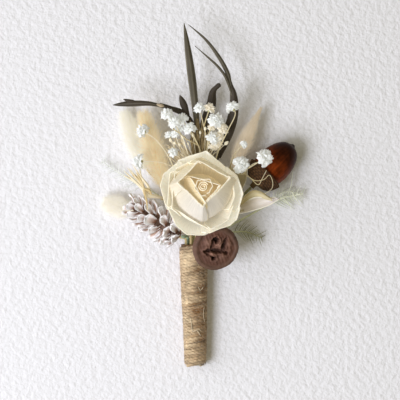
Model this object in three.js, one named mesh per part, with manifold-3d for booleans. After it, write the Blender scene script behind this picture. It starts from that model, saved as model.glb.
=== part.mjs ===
// A rustic boutonniere lying on its back, in millimetres, +Z up.
// The origin is on the surface it rests on, straight below the place where the stems leave the
// twine. +Y runs along the stems to the leaf tips, and +Z is the side that is worn outwards.
// Nineteen stems lie in the twine like the strands of a rope, each in a lane of its own.
import * as THREE from 'three';
import { LoftGeometry } from 'three/addons/geometries/LoftGeometry.js';
import { mergeVertices } from 'three/addons/utils/BufferGeometryUtils.js';
import Module from 'manifold-3d';

const wasm = await Module();
wasm.setup();

// Driving dimensions
const HANDLE = {
  lip: 0.8, length: 52.8, topRadius: 6.4, endRadius: 4.85, boreTop: 5.3, boreEnd: 3.85,
  flat: 0.15, twine: 1.65, ridge: 0.35, sides: 10,
};
const STEM = { radius: 0.55, sides: 5, lanePitchTop: 2.1, lanePitchEnd: 1.42, recess: 0.4, mouth: 1.7 };
const BLADE = 0.62;
const WELD = 1e-4;
const GOLDEN_ANGLE = Math.PI * (3 - Math.sqrt(5));

const ROSE = {
  base: [1.9, 18.2, 15], axis: [0.07, 0.33, 0.94], petal: 0.62, lap: 0.55, overlap: 0.62, stretch: 1.07,
  layers: [
    {
      corners: [-104, -44, 6, 88, 168], sharpest: 27, drop: 0.16,
      profile: [[2.2, 0.2], [9, 1.2], [15.4, 5.2], [18, 9.6]],
    },
    {
      corners: [-150, -75, 40, 130], sharpest: 34, drop: 0.14,
      profile: [[2, 2], [8.6, 3.8], [12.8, 8], [14.6, 12.2]],
    },
    {
      corners: [-92, 24, 103, 175], sharpest: 38, drop: 0.1, pull: [0.74, 1, 1, 1],
      profile: [[1.8, 3.8], [7.4, 5.8], [11, 10.2], [10.2, 15.5]],
    },
    {
      corners: [-78, 13, 147], sharpest: 42, drop: 0.08,
      profile: [[1.2, 5.6], [5.4, 7.6], [7.4, 11.5], [6.5, 16.3]],
    },
  ],
  bud: { outer: 4.2, inner: 0.8, flare: 1.15, turns: 2.4, foot: 7, top: 16.6 },
  heart: [[0, -1], [1.6, -1], [3, 0.2], [4.4, 5], [4.4, 7], [3.5, 8.2], [0, 8.6]],
};
const POD = {
  base: [6.9, 0.25, 11], face: [8.4, -2.25, 19.5],
  profile: [
    [1.1, 0], [2.4, 0.8], [5.8, 2], [8.4, 4], [9.7, 6.6], [9.6, 8], [8.8, 9], [7.4, 9.5], [4.6, 9.8],
  ],
  crown: 9.9, star: [1.2, 1.8], slit: 1.5, slitDepth: 2.6,
  slits: [[75, 5.4], [125, 5.4], [194, 5.6], [245, 4.6], [355, 4.6]],
};
const ACORN = {
  base: [26.1, 26.3, 9.15], tip: [41.7, 41.7, 6.15], sides: 16, radius: 7.5, widest: 9, halfLength: 12.2,
  nutRows: [0, 1.2, 3, 5.4, 8.5, 11.8, 15, 17.8, 19.8], nub: [[0.9, 20.9], [0, 22.1]],
  rimAt: 4.4, clearance: 0.35, wall: 0.9, scale: 0.35, scallop: 0.45, rings: 5,
  roundedFrom: 2.4, stalk: 1.1, stalkTop: 1.9, stalkLength: 4,
};
const CONE = {
  base: [-6.4, 3.2, 12.6], tip: [-30, 17.6, 15], radius: 7.7, tipRadius: 3.4, openFoot: 66, openTip: 26,
  scales: 34, scaleWidth: 4.4, tipScaleWidth: 2.8, scaleThickness: 0.9, core: 2.1,
};
const BUNNY = { columns: 12, rows: 12, valley: 0.7, lie: 1.6 };
const BLOOM = { columns: 8, rows: 4, relief: 0.3, stalk: 0.36 };
const NEEDLE = { root: 0.42, tip: 0.3, sides: 3, forward: 0.75, rise: 0.16 };
const SEAT = 0.35;

const UP = new THREE.Vector3(0, 0, 1);
const AHEAD = new THREE.Vector3(0, 1, 0);
const part = new THREE.Group();
part.name = 'boutonniere';

const point = (coordinates) => new THREE.Vector3(...coordinates);
const radians = THREE.MathUtils.degToRad;
const mix = THREE.MathUtils.lerp;

// A repeatable source of numbers from 0 to 1
function seeded(seed) {
  let state = seed;
  return () => {
    state = (state * 1103515245 + 12345) % 2147483648;
    return state / 2147483648;
  };
}

// A closed geometry as a solid, whichever way its faces were wound
function solidOf(geometry) {
  const bare = new THREE.BufferGeometry();
  bare.setAttribute('position', geometry.getAttribute('position').clone());
  bare.setIndex(geometry.getIndex());
  const merged = mergeVertices(bare, WELD);
  const index = merged.getIndex().array;
  const outward = [];
  const inward = [];
  for (let i = 0; i < index.length; i += 3) {
    const [a, b, c] = [index[i], index[i + 1], index[i + 2]];
    if (a !== b && b !== c && c !== a) {
      outward.push(a, b, c);
      inward.push(a, c, b);
    }
  }
  const vertProperties = new Float32Array(merged.getAttribute('position').array);
  const made = [outward, inward].map((triangles) => new wasm.Manifold(
    new wasm.Mesh({ numProp: 3, vertProperties, triVerts: new Uint32Array(triangles) })));
  return made[0].volume() > 0 ? made[0] : made[1];
}

// Joins solids into one body, with any hollow that this seals filled
function fuse(solids) {
  const shells = wasm.Manifold.union(solids).simplify(0.05).decompose();
  return shells.reduce((largest, shell) => (shell.volume() > largest.volume() ? shell : largest));
}

// A solid turned round +Y from a line of [radius, height]
const lathed = (profile, sides) => solidOf(new THREE.LatheGeometry(
  profile.map(([r, h]) => new THREE.Vector2(r, h)), sides));

// A named mesh of one solid, added to the part
function add(name, solid, { color, roughness }) {
  const { vertProperties, triVerts } = solid.getMesh();
  const geometry = new THREE.BufferGeometry();
  geometry.setAttribute('position', new THREE.BufferAttribute(new Float32Array(vertProperties), 3));
  geometry.setIndex(new THREE.BufferAttribute(new Uint32Array(triVerts), 1));
  geometry.computeVertexNormals();
  const mesh = new THREE.Mesh(geometry, new THREE.MeshStandardMaterial({ color, roughness, metalness: 0 }));
  mesh.name = name;
  part.add(mesh);
  return mesh;
}

// Turns a geometry or a mesh that grows along its own +Y so that it grows from one point to another
function turned(geometry, from, towards) {
  const direction = towards.clone().sub(from).normalize();
  const turn = new THREE.Quaternion().setFromUnitVectors(AHEAD, direction);
  return geometry.applyQuaternion(turn).translate(from.x, from.y, from.z);
}

function stand(mesh, from, towards) {
  mesh.position.copy(from);
  mesh.quaternion.setFromUnitVectors(AHEAD, towards.clone().sub(from).normalize());
}

// Skins a changing section along a line of points. The section is given in the plane across the
// line, as [to the side, towards the upper face].
function loftAlong(points, upper, sectionAt) {
  let normal = upper.clone();
  const last = points.length - 1;
  const sections = points.map((centre, i) => {
    const before = points[Math.max(i - 1, 0)];
    const after = points[Math.min(i + 1, last)];
    const tangent = after.clone().sub(before).normalize();
    normal = normal.clone().addScaledVector(tangent, -normal.dot(tangent)).normalize();
    const side = normal.clone().cross(tangent);
    return sectionAt(i / last).map(([aside, above]) => centre.clone()
      .addScaledVector(side, aside).addScaledVector(normal, above));
  });
  return solidOf(new LoftGeometry(sections, { capStart: true, capEnd: true }));
}

const smooth = (points, steps) => new THREE.CatmullRomCurve3(points.map(point), false, 'centripetal')
  .getPoints(steps);

const circle = (radius, sides) => Array.from({ length: sides }, (_, k) => {
  const angle = 2 * Math.PI * k / sides;
  return [radius * Math.cos(angle), radius * Math.sin(angle)];
});

// A flat strip, and one whose middle is raised into a low ridge
const strip = (half, thick) => [
  [-half, -thick / 2], [half, -thick / 2], [half, thick / 2], [-half, thick / 2],
];
const arched = (half, rise, thick) => [
  [-half, -thick / 2], [0, rise - thick / 2], [half, -thick / 2],
  [half, thick / 2], [0, rise + thick / 2], [-half, thick / 2],
];

const twig = (points, radius, steps, sides = 4) => loftAlong(smooth(points, steps), UP,
  (t) => circle(mix(radius, radius * 0.7, t), sides));

// A long narrow leaf: full width soon after its root, then narrowing to its tip
function blade(points, width, { steps = 8, rise = 0, tip = 0.5, upper = UP, full = 0.35 } = {}) {
  return loftAlong(smooth(points, steps), upper, (t) => {
    const grow = Math.min(1, 0.45 + 0.55 * t / full);
    const fade = t < full ? 1 : Math.cos(Math.PI / 2 * (t - full) / (1 - full)) ** 0.7;
    const half = Math.max(width / 2 * grow * fade, tip / 2);
    return rise ? arched(half, rise * half * 2 / width, BLADE) : strip(half, BLADE);
  });
}

// A thin closed sheet round a curved surface, split into triangles alike on both faces
function sheet(surface, columns, rows, thickness) {
  const across = columns + 1;
  const count = across * (rows + 1);
  const at = (i, j) => surface(
    THREE.MathUtils.clamp(i, 0, columns) / columns, THREE.MathUtils.clamp(j, 0, rows) / rows);
  const front = [];
  const back = [];
  for (let j = 0; j <= rows; j += 1) {
    for (let i = 0; i <= columns; i += 1) {
      const along = at(i + 1, j).sub(at(i - 1, j));
      const rising = at(i, j + 1).sub(at(i, j - 1));
      const normal = along.cross(rising).setLength(thickness / 2);
      front.push(...at(i, j).add(normal).toArray());
      back.push(...at(i, j).sub(normal).toArray());
    }
  }
  const index = [];
  const rim = (p, q) => index.push(q, p, count + p, q, count + p, count + q);
  for (let j = 0; j < rows; j += 1) {
    for (let i = 0; i < columns; i += 1) {
      const a = j * across + i;
      const [b, c, d] = [a + 1, a + across + 1, a + across];
      index.push(a, b, d, b, c, d);
      index.push(count + a, count + d, count + b, count + b, count + d, count + c);
      if (j === 0) rim(a, b);
      if (j === rows - 1) rim(c, d);
      if (i === 0) rim(d, a);
      if (i === columns - 1) rim(b, c);
    }
  }
  const geometry = new THREE.BufferGeometry();
  geometry.setAttribute('position', new THREE.Float32BufferAttribute([...front, ...back], 3));
  geometry.setIndex(index);
  return solidOf(geometry);
}

// The tapered handle leans so that its back is level, and the back is pressed flat, which cuts a
// little deeper than the grooves between the turns of twine
const inGroove = (radius) => (radius - HANDLE.ridge) * Math.cos(Math.PI / HANDLE.sides) - HANDLE.flat;
const HANDLE_LEAN = Math.asin((inGroove(HANDLE.topRadius) - inGroove(HANDLE.endRadius)) / HANDLE.length);
const HANDLE_HEIGHT = inGroove(HANDLE.topRadius);
const leaned = (vector) => vector.applyAxisAngle(new THREE.Vector3(1, 0, 0), HANDLE_LEAN)
  .add(new THREE.Vector3(0, 0, HANDLE_HEIGHT));

function addTwineWrap() {
  const turns = Math.round(HANDLE.length / HANDLE.twine);
  const { lip, length, topRadius, endRadius, boreTop, boreEnd, ridge } = HANDLE;
  const profile = [];
  for (let k = 0; k <= 2 * turns; k += 1) {
    const t = k / (2 * turns);
    profile.push(new THREE.Vector2(mix(topRadius, endRadius, t) - (k % 2 ? 0 : ridge), lip - length * t));
  }
  profile.push(new THREE.Vector2(boreEnd, lip - length));
  profile.push(new THREE.Vector2(boreTop, lip));
  profile.push(profile[0]);
  const sleeve = solidOf(new THREE.LatheGeometry(profile, HANDLE.sides)
    .rotateX(HANDLE_LEAN).translate(0, 0, HANDLE_HEIGHT));
  add('twine_wrap', sleeve.trimByPlane([0, 0, 1], 0), { color: 0xae906a, roughness: 0.95 });
}

// Where a lane lies at one place along the handle: rings of lanes, as in a rope of nineteen strands
function lanePoint([ring, angle], y) {
  const pitch = mix(STEM.lanePitchTop, STEM.lanePitchEnd, -y / HANDLE.length);
  const turn = radians(angle);
  return leaned(new THREE.Vector3(ring * pitch * Math.cos(turn), y, ring * pitch * Math.sin(turn)));
}

const OUTER = 2;
const BETWEEN = Math.sqrt(3);
const INNER = 1;
const LANES = {
  acornWire: [OUTER, 0], creamLeafRight: [OUTER, 60], strawLeaf: [OUTER, 120],
  bunnyTall: [OUTER, 180], fernLeft: [OUTER, 240], fernLow: [OUTER, 300],
  pod: [BETWEEN, 30], rose: [BETWEEN, 90], cone: [BETWEEN, 150],
  bunnyLow: [BETWEEN, 210], darkLeafRight: [BETWEEN, 270], fernRight: [BETWEEN, 330],
  bunnyRight: [INNER, 0], breathRight: [INNER, 60], breathLeft: [INNER, 120],
  bunnyPale: [INNER, 180], darkLeafLeft: [INNER, 240], creamLeafBack: [INNER, 300],
  breathMiddle: [0, 0],
};

// A stem from the cut end of its lane, out of the twine and through the points given
function stem(lane, through, { steps = 2 * through.length + 2, radius = STEM.radius } = {}) {
  const end = lanePoint(lane, HANDLE.lip - HANDLE.length + STEM.recess);
  const mouth = lanePoint(lane, STEM.mouth);
  const free = smooth([mouth.toArray(), ...through], steps);
  return loftAlong([end, ...free], UP, () => circle(radius, STEM.sides));
}

// The rose: pointed paper-like petals in layers round a rolled bud. The rim of a layer is nearly
// a polygon with a petal's point at each corner, and each petal laps over the next one. A pull
// below 1 leans a petal's rim in over the bud.
function rimShare(off, spacing, sharpest) {
  const bend = radians(Math.min(spacing / 2, sharpest));
  const nearest = radians(Math.min(Math.abs(off), spacing - Math.abs(off)));
  return Math.cos(bend) / Math.cos(Math.max(0, bend - nearest));
}

function petal({ corners, sharpest, profile, drop, pull = [] }, k) {
  const curve = new THREE.SplineCurve(profile.map(([r, h]) => new THREE.Vector2(r, h)));
  const corner = corners[k];
  const turnTo = (other) => (other - corner + 720) % 360;
  const ahead = turnTo(corners[(k + 1) % corners.length]);
  const behind = 360 - turnTo(corners.at(k - 1));
  return sheet((s, v) => {
    const u = 2 * s - 1;
    const spacing = u > 0 ? ahead : behind;
    const off = ROSE.overlap * spacing * u;
    const reach = v * (1 - drop * u * u);
    const { x: r, y: h } = curve.getPoint(reach);
    const slope = curve.getTangent(reach);
    const pointed = mix(1, rimShare(off, spacing, sharpest), THREE.MathUtils.smoothstep(v, 0.1, 0.9));
    const leaning = mix(1, pull[k] ?? 1, THREE.MathUtils.smoothstep(v, 0.4, 1));
    const radius = r * pointed * leaning + ROSE.lap * u * slope.y;
    const angle = radians(corner + off);
    return new THREE.Vector3(
      radius * Math.cos(angle), h - ROSE.lap * u * slope.x, -ROSE.stretch * radius * Math.sin(angle));
  }, 6, 4, ROSE.petal);
}

function addRose() {
  const { outer, inner, flare, turns, foot, top } = ROSE.bud;
  const roll = sheet((s, v) => {
    const angle = 2 * Math.PI * turns * s;
    const radius = mix(outer, inner, s) * mix(flare, 1, v);
    return new THREE.Vector3(radius * Math.cos(angle), mix(foot, top, v), -radius * Math.sin(angle));
  }, 22, 2, ROSE.petal);
  const heartwood = lathed(ROSE.heart, 12);
  const petals = ROSE.layers.flatMap((layer) => layer.corners.map((_, k) => petal(layer, k)));
  const rose = add('sola_rose', fuse([heartwood, roll, ...petals]), { color: 0xd9cba8, roughness: 0.8 });
  const base = point(ROSE.base);
  const axis = point(ROSE.axis).normalize();
  stand(rose, base, base.clone().add(axis));
  const foothold = base.clone().addScaledVector(axis, ROSE.heart[0][1] - SEAT);
  const below = foothold.clone().addScaledVector(axis, -0.9);
  const wire = stem(LANES.rose, [
    [0.3, 6, 9.8], [0.9, 11.4, 10.2], [1.5, 15.4, 11.6], below.toArray(), foothold.toArray(),
  ]);
  add('rose_stem', wire, { color: 0xb9a47c, roughness: 0.8 });
}

// The gumnut: a bowl on a stub, its face split by five slits that meet in the middle
function addPod() {
  const bowl = lathed([[0, 0], ...POD.profile, [0, POD.crown]], 20);
  const slits = POD.slits.map(([angle, length]) => solidOf(
    new THREE.BoxGeometry(length, POD.slitDepth * 2, POD.slit).translate(length / 2, POD.crown, 0)
      .rotateY(radians(angle)).translate(POD.star[0], 0, POD.star[1])));
  const pod = add('eucalyptus_pod', bowl.subtract(fuse(slits)), { color: 0x6a4d3b, roughness: 0.6 });
  const base = point(POD.base);
  const face = point(POD.face);
  stand(pod, base, face);
  const axis = face.clone().sub(base).normalize();
  const foot = base.clone().addScaledVector(axis, -SEAT);
  const below = foot.clone().addScaledVector(axis, -0.9);
  const stalk = stem(LANES.pod, [[4.4, 3.1, 8.5], below.toArray(), foot.toArray()], { steps: 6 });
  add('pod_stem', stalk, { color: 0x6d5a3c, roughness: 0.8 });
}

// The acorn: a nut with a pointed nub, in a cup covered with rows of scales
const acornRadius = (s) => ACORN.radius
  * Math.sqrt(Math.max(0, 1 - ((s - ACORN.widest) / ACORN.halfLength) ** 2));

function addAcorn() {
  const { clearance, wall, scale, rimAt, rings, stalk, stalkTop, stalkLength } = ACORN;
  const from = point(ACORN.base);
  const tip = point(ACORN.tip);
  const nut = lathed([[0, 0], ...ACORN.nutRows.map((s) => [acornRadius(s), s]), ...ACORN.nub], ACORN.sides);
  stand(add('acorn_nut', nut, { color: 0x5a2c12, roughness: 0.25 }), from, tip);

  // Rows of the cup, given as heights, with every second one standing out as the edge of a scale
  const outside = Array.from({ length: 2 * rings + 1 }, (_, k) => {
    const s = mix(-clearance - wall, rimAt, k / (2 * rings));
    const rounded = Math.sqrt(Math.min(1, (s + ACORN.roundedFrom) / ACORN.roundedFrom));
    return [(acornRadius(Math.max(s, 0)) + clearance + wall + (k % 2 ? scale : 0)) * rounded, s];
  });
  const inside = [rimAt, 3, 1.2, 0.2, -clearance];
  const cupProfile = [
    [0, -stalkLength], [stalk, -stalkLength], [stalk, -stalkTop],
    ...outside,
    ...inside.map((s) => [acornRadius(Math.max(s, 0)) + clearance, s]),
    [0, -clearance],
  ];
  const cup = new THREE.LatheGeometry(cupProfile.map(([r, h]) => new THREE.Vector2(r, h)), ACORN.sides);
  const rows = cup.getAttribute('position');
  for (let k = 0; k < rows.count; k += 1) {
    const row = k % cupProfile.length;
    const column = Math.floor(k / cupProfile.length);
    const scaleRow = Math.floor((row - 3) / 2);
    if (row >= 3 && row < 2 + outside.length && (column + scaleRow) % 2) {
      rows.setY(k, rows.getY(k) + ACORN.scallop);
    }
  }
  stand(add('acorn_cap', solidOf(cup), { color: 0x6b5434, roughness: 0.9 }), from, tip);

  const axis = tip.clone().sub(from).normalize();
  const stalkEnd = from.clone().addScaledVector(axis, -stalkLength - SEAT);
  const wire = stem(LANES.acornWire, [
    [7.4, 5, 6.1], [13, 13, 6.3],
    stalkEnd.clone().addScaledVector(axis, -2.5).toArray(), stalkEnd.toArray(),
  ]);
  add('acorn_wire', wire, { color: 0x5d6b3c, roughness: 0.7 });
}

// The cone: broad-tipped scales set round a core by the golden angle, opening wider to the base
function addCone() {
  const from = point(CONE.base);
  const tip = point(CONE.tip);
  const length = tip.distanceTo(from);
  const core = lathed([
    [0, 0], [1.2, 0], [CONE.core, 2], [CONE.core, length * 0.6], [0.9, length * 0.9], [0, length * 0.93],
  ], 8);
  const scales = Array.from({ length: CONE.scales }, (_, k) => {
    const t = (k + 0.5) / CONE.scales;
    const height = mix(1.6, length * 0.86, t ** 0.9);
    const open = radians(mix(CONE.openFoot, CONE.openTip, t ** 1.1));
    const reach = mix(CONE.radius, CONE.tipRadius, t ** 2.2) * (t < 0.06 ? 0.86 : 1);
    const angle = k * GOLDEN_ANGLE;
    const out = new THREE.Vector3(Math.cos(angle), 0, Math.sin(angle));
    const lean = (r, h) => out.clone().multiplyScalar(r).addScaledVector(AHEAD, height + h);
    const rise = Math.cos(open) * reach;
    const line = [
      lean(0.8, -0.3), lean(reach * 0.62, rise * 0.4), lean(reach * 0.93, rise * 0.95),
      lean(reach, rise * 1.25),
    ];
    const half = mix(CONE.scaleWidth, CONE.tipScaleWidth, t ** 1.5) / 2;
    const widths = [0.35, 0.8, 1, 0.55].map((share) => half * share);
    const thick = [0.7, 0.8, CONE.scaleThickness + 0.3, 0.7];
    return loftAlong(line, AHEAD, (s) => strip(widths[Math.round(3 * s)], thick[Math.round(3 * s)]));
  });
  stand(add('pine_cone', fuse([core, ...scales]), { color: 0x8a6b50, roughness: 0.85 }), from, tip);
  const axis = tip.clone().sub(from).normalize();
  const seat = from.clone().addScaledVector(axis, -SEAT);
  const below = seat.clone().addScaledVector(axis, -1);
  const wire = stem(LANES.cone, [[-4.2, 3, 9.6], below.toArray(), seat.toArray()], { steps: 5 });
  add('cone_wire', wire, { color: 0x39562f, roughness: 0.7 });
}

// A bunny tail: a soft oval head on a thin stem, thick with tufts of hair that lie forward. Every
// second point of the head's surface is the tip of a tuft.
function addBunnyTail(name, { lane, through, head, radius, color }) {
  const from = point(through.at(-1));
  const tip = point(head);
  const length = tip.distanceTo(from);
  const { columns, rows, valley, lie } = BUNNY;
  const ball = new THREE.SphereGeometry(1, columns, rows);
  const vertices = ball.getAttribute('position');
  for (let k = 0; k < vertices.count; k += 1) {
    const column = k % (columns + 1);
    const row = Math.floor(k / (columns + 1));
    const pole = row === 0 || row === rows;
    const tuft = !pole && (column + row) % 2 === 0;
    const t = 1 - row / rows;
    const angle = 2 * Math.PI * column / columns;
    const girth = pole ? 0 : radius * Math.sin(Math.PI * t ** 0.8) ** 0.7 * (tuft ? 1 : valley);
    const height = pole ? length * t - 1 + t : length * (0.02 + 0.9 * t) + (tuft ? lie : 0);
    vertices.setXYZ(k, girth * Math.cos(angle), height, -girth * Math.sin(angle));
  }
  add(name, fuse([solidOf(turned(ball, from, tip)), stem(lane, through)]), { color, roughness: 0.95 });
}

function addBunnyTails() {
  const tails = {
    bunny_tail_tall: {
      lane: LANES.bunnyTall, head: [-22.8, 57, 10], radius: 4.9, color: 0xcfb98c,
      through: [[-3.2, 5, 5.2], [-4.2, 11, 5.4], [-9.2, 18, 7.6], [-13.4, 22.5, 9.3]],
    },
    bunny_tail_pale: {
      lane: LANES.bunnyPale, head: [-31, 56.6, 4], radius: 3.6, color: 0xe0d3b8,
      through: [[-2.3, 6, 4.1], [-5, 12, 3.5], [-12, 21, 3.3], [-20.8, 31, 3.5]],
    },
    bunny_tail_low: {
      lane: LANES.bunnyLow, head: [-40, 17.4, 4.4], radius: 4.1, color: 0xddd0ba,
      through: [[-6.6, 2.4, 2.7], [-13, 5.8, 1.5], [-19, 9.6, 2.1], [-24.4, 12.6, 3.8]],
    },
    bunny_tail_right: {
      lane: LANES.bunnyRight, head: [27.7, 57.5, 7.2], radius: 3.7, color: 0xbfb29c,
      through: [[4.4, 7, 6.3], [8, 16, 6.3], [11.8, 25, 6.4], [15, 31.5, 6.6]],
    },
  };
  Object.entries(tails).forEach(([name, tail]) => addBunnyTail(name, tail));
}

// Dark leaves, cut into long lobes, with the narrow ribbon-like feel of dried grevillea
function addDarkLeaves() {
  const left = [
    stem(LANES.darkLeafLeft, [
      [-0.9, 8, 3.4], [-0.8, 18, 3], [0.4, 30, 4], [1.5, 39, 6.6], [1.6, 44, 8.6],
    ]),
    blade([[1.5, 40, 7], [0.2, 52, 10], [-1.6, 68, 13.5], [-3.4, 81, 16], [-5, 92, 17.6]], 3.3,
      { steps: 9, full: 0.5 }),
    blade([[1.5, 41, 7.4], [-1, 48.5, 9.4], [-5.6, 54.4, 12.2], [-11, 56.6, 14], [-15.6, 57.9, 15]], 2.7,
      { steps: 7, tip: 2 }),
    blade([[-13.4, 57.2, 14.6], [-20, 58.4, 15.4], [-28, 58.3, 15.2], [-34.9, 57.8, 14.4]], 2.5,
      { steps: 6, full: 0.55 }),
    blade([[-24, 58.6, 15.4], [-27.6, 59.3, 15.6], [-30.4, 60.2, 15.6]], 1.8, { steps: 3 }),
    blade([[-3, 52, 11], [-4.6, 56.6, 12.4], [-6.8, 62, 13.6]], 2.8, { steps: 4, tip: 1.2 }),
    blade([
      [0.2, 29, 4], [0.8, 40, 3.8], [3.8, 49.6, 4.4], [6.5, 59, 5.4], [7.3, 64, 6.2], [10.2, 67, 7],
    ], 3.2, { steps: 9, full: 0.8, tip: 1.8 }),
  ];
  add('dark_leaf_left', fuse(left), { color: 0x524a3c, roughness: 0.8 });
  const right = [
    stem(LANES.darkLeafRight, [
      [0.9, 8, 2.1], [2.6, 18, 2.2], [5.6, 27, 3.8], [8.4, 33.6, 6.2], [10.2, 38, 8],
    ]),
    blade([[9.4, 36, 7.2], [12.8, 44.5, 10.4], [15.6, 54, 12.6], [15.7, 62, 13.6], [13.8, 68.5, 14]], 3.2,
      { full: 0.5, tip: 1.7 }),
    blade([[14.9, 64.8, 13.8], [13, 71.6, 14.2], [9.3, 78.3, 14.4], [4.2, 85, 14.2], [-3.2, 91.6, 13.6]], 1.8,
      { steps: 7, full: 0.2, tip: 0.7 }),
    blade([[15.6, 60, 13.4], [12.4, 69.4, 15], [9, 74, 15.8], [4.4, 78.2, 16], [-0.6, 82.6, 15.8]], 1.5,
      { steps: 6, full: 0.2, tip: 0.7 }),
  ];
  add('dark_leaf_right', fuse(right), { color: 0x6d6557, roughness: 0.8 });
}

// One bloom of baby's breath: a ruffled ball on a small cup
function bloom(centre, size, towards) {
  const ball = new THREE.SphereGeometry(size / 2, BLOOM.columns, BLOOM.rows);
  const vertices = ball.getAttribute('position');
  for (let k = 0; k < vertices.count; k += 1) {
    const column = k % (BLOOM.columns + 1);
    const row = Math.floor(k / (BLOOM.columns + 1));
    const pole = row === 0 || row === BLOOM.rows;
    const shrink = !pole && (column + row) % 2 ? 1 - BLOOM.relief : 1;
    vertices.setXYZ(k, vertices.getX(k) * shrink, vertices.getY(k) * shrink, vertices.getZ(k) * shrink);
  }
  return solidOf(turned(ball, centre, centre.clone().add(towards)));
}

// A spray: a stem that forks into thin twigs, each with a bloom at its end
function addSpray(name, lane, through, twigs) {
  const pieces = [stem(lane, through)];
  twigs.forEach(({ route, size }) => {
    pieces.push(twig(route, BLOOM.stalk, route.length + 1));
    if (size) {
      const end = point(route.at(-1));
      pieces.push(bloom(end, size, end.clone().sub(point(route.at(-2)))));
    }
  });
  add(name, fuse(pieces), { color: 0xced2cd, roughness: 0.9 });
}

function addBabysBreath() {
  addSpray('babys_breath_left', LANES.breathLeft,
    [[-1.1, 8, 7.6], [-3, 16, 7.7], [-6.4, 25, 8.7], [-9.8, 33, 11.2]], [
      { route: [[-9.4, 32, 10.9], [-10.6, 35.6, 13], [-9.4, 38.4, 14.8]], size: 3.6 },
      { route: [[-9.4, 32, 10.9], [-14, 33.6, 15.2], [-19, 34.2, 17], [-24.4, 34.2, 16.6]], size: 5.2 },
      { route: [[-9.4, 32, 10.9], [-12.6, 38, 16], [-17, 43.4, 18.2], [-22.8, 47.3, 17.6]], size: 5 },
    ]);
  addSpray('babys_breath_middle', LANES.breathMiddle,
    [[0.2, 8, 6.2], [0.6, 18, 6], [1.8, 28, 7], [3.6, 37, 10]], [
      { route: [[3.2, 35, 9.4], [0.5, 42, 13.4], [-3, 48.5, 16]], size: 5 },
      { route: [[0.9, 41, 12.8], [-2.6, 46.6, 13], [-6.1, 52.4, 15]], size: 4.6 },
      { route: [[0.9, 41, 12.8], [-5.6, 44.8, 15.2], [-9.4, 51, 18.6]], size: 4.8 },
      { route: [[-6.2, 45.6, 15.6], [-10.4, 48.6, 17], [-12.4, 54.4, 18.6]], size: 4.8 },
      { route: [[3.2, 35, 9.4], [5, 41, 12.4], [7.6, 44.6, 14.6]], size: 5.4 },
      { route: [[4.6, 40, 12], [8, 43, 13], [11.4, 48.2, 16]], size: 4.4 },
      { route: [[4.6, 40, 12], [5.4, 46, 15], [8.6, 52, 17.4]], size: 5.8 },
      { route: [[4.9, 42.4, 13.2], [3, 50, 14.4], [1.4, 57, 15.8]], size: 4.4 },
      { route: [[3.3, 48.8, 14.2], [4.6, 53, 15], [5.8, 56.8, 15.4]], size: 4.4 },
    ]);
  addSpray('babys_breath_right', LANES.breathRight,
    [[2.8, 8, 7.7], [6.4, 16, 8.2], [10.2, 24, 9.8], [14.4, 31.8, 14]], [
      {
        route: [
          [6.4, 16, 8.2], [7, 27, 10.6], [9.2, 38, 14], [13.6, 47.6, 18.8], [16.4, 54.2, 19.6],
          [15, 57.2, 19.4],
        ],
        size: 5.2,
      },
      { route: [[14, 31, 13.5], [17, 32, 16.6], [19.2, 33.2, 19]], size: 6.8 },
      { route: [[14, 31, 13.5], [16.4, 37.6, 14.6], [20.2, 41.6, 15]], size: 3 },
      { route: [[14, 31, 13.5], [20, 30.6, 17], [25, 33.2, 20.4], [29.2, 36.1, 22]], size: 6.8 },
      {
        route: [[14, 31, 13.5], [19, 29.4, 16.4], [24, 28.6, 18.6], [29.6, 29.4, 19], [31.6, 27, 18.4]],
        size: 0,
      },
      { route: [[29.2, 29.4, 19], [31.6, 31.2, 18.8], [33, 31, 18.4]], size: 0 },
    ]);
}

// Cream leaves and a straw leaf
function addPaleLeaves() {
  const right = [
    stem(LANES.creamLeafRight, [[6.2, 7.6, 10.7], [12, 10.6, 11.8], [17, 12.6, 14], [20, 13.6, 15]]),
    sheet((u, v) => {
      const along = mix(17, 34.6, u);
      const middle = 13 + 6.6 * u ** 1.4;
      const half = 4 * Math.sin(Math.PI * Math.min(0.96, 0.16 + 0.84 * u)) ** 0.8 + 0.25;
      const across = 2 * v - 1;
      return new THREE.Vector3(along - 1.2 * across, middle + half * across + 1.2,
        14.2 + 1.8 * u + 2.6 * across * across * Math.sin(Math.PI * (0.15 + 0.7 * u)));
    }, 6, 6, BLADE),
  ];
  add('cream_leaf_right', fuse(right), { color: 0xcbc5b6, roughness: 0.7 });
  const back = [
    stem(LANES.creamLeafBack, [[4, 8, 4.2], [9, 15.4, 3.9], [15, 21, 5.4], [17.6, 23.6, 8.6]]),
    sheet((u, v) => {
      const across = 2 * v - 1;
      const half = 2.7 * Math.sin(Math.PI * (0.12 + 0.8 * u)) ** 0.7 + 0.2;
      return new THREE.Vector3(17.3 + 2.8 * u + half * across, 22.8 + 12.6 * u - 1.2 * across,
        8.4 + 3.4 * u + 1.2 * across * across);
    }, 5, 4, BLADE),
  ];
  add('cream_leaf_back', fuse(back), { color: 0xc6b999, roughness: 0.7 });
  const straw = [
    stem(LANES.strawLeaf, [[-2.6, 6, 9.8], [-5, 12, 9.8], [-10.6, 17.4, 10.6], [-14.6, 18.6, 12.9]]),
    blade([
      [-13.6, 18.8, 12.3], [-17.2, 19.6, 17.2], [-20.4, 20.2, 18.8], [-21.6, 22.2, 17.2], [-24, 26.4, 15.4],
      [-28.8, 31.6, 13.8],
    ], 3.2, { steps: 10, rise: 0.5 }),
    blade([[-19.6, 19.7, 18.2], [-19.8, 23.2, 18.6], [-24.2, 29.4, 17.8]], 2, { steps: 5 }),
  ];
  add('straw_leaf_left', fuse(straw), { color: 0xd3c8ab, roughness: 0.8 });
}

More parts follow.
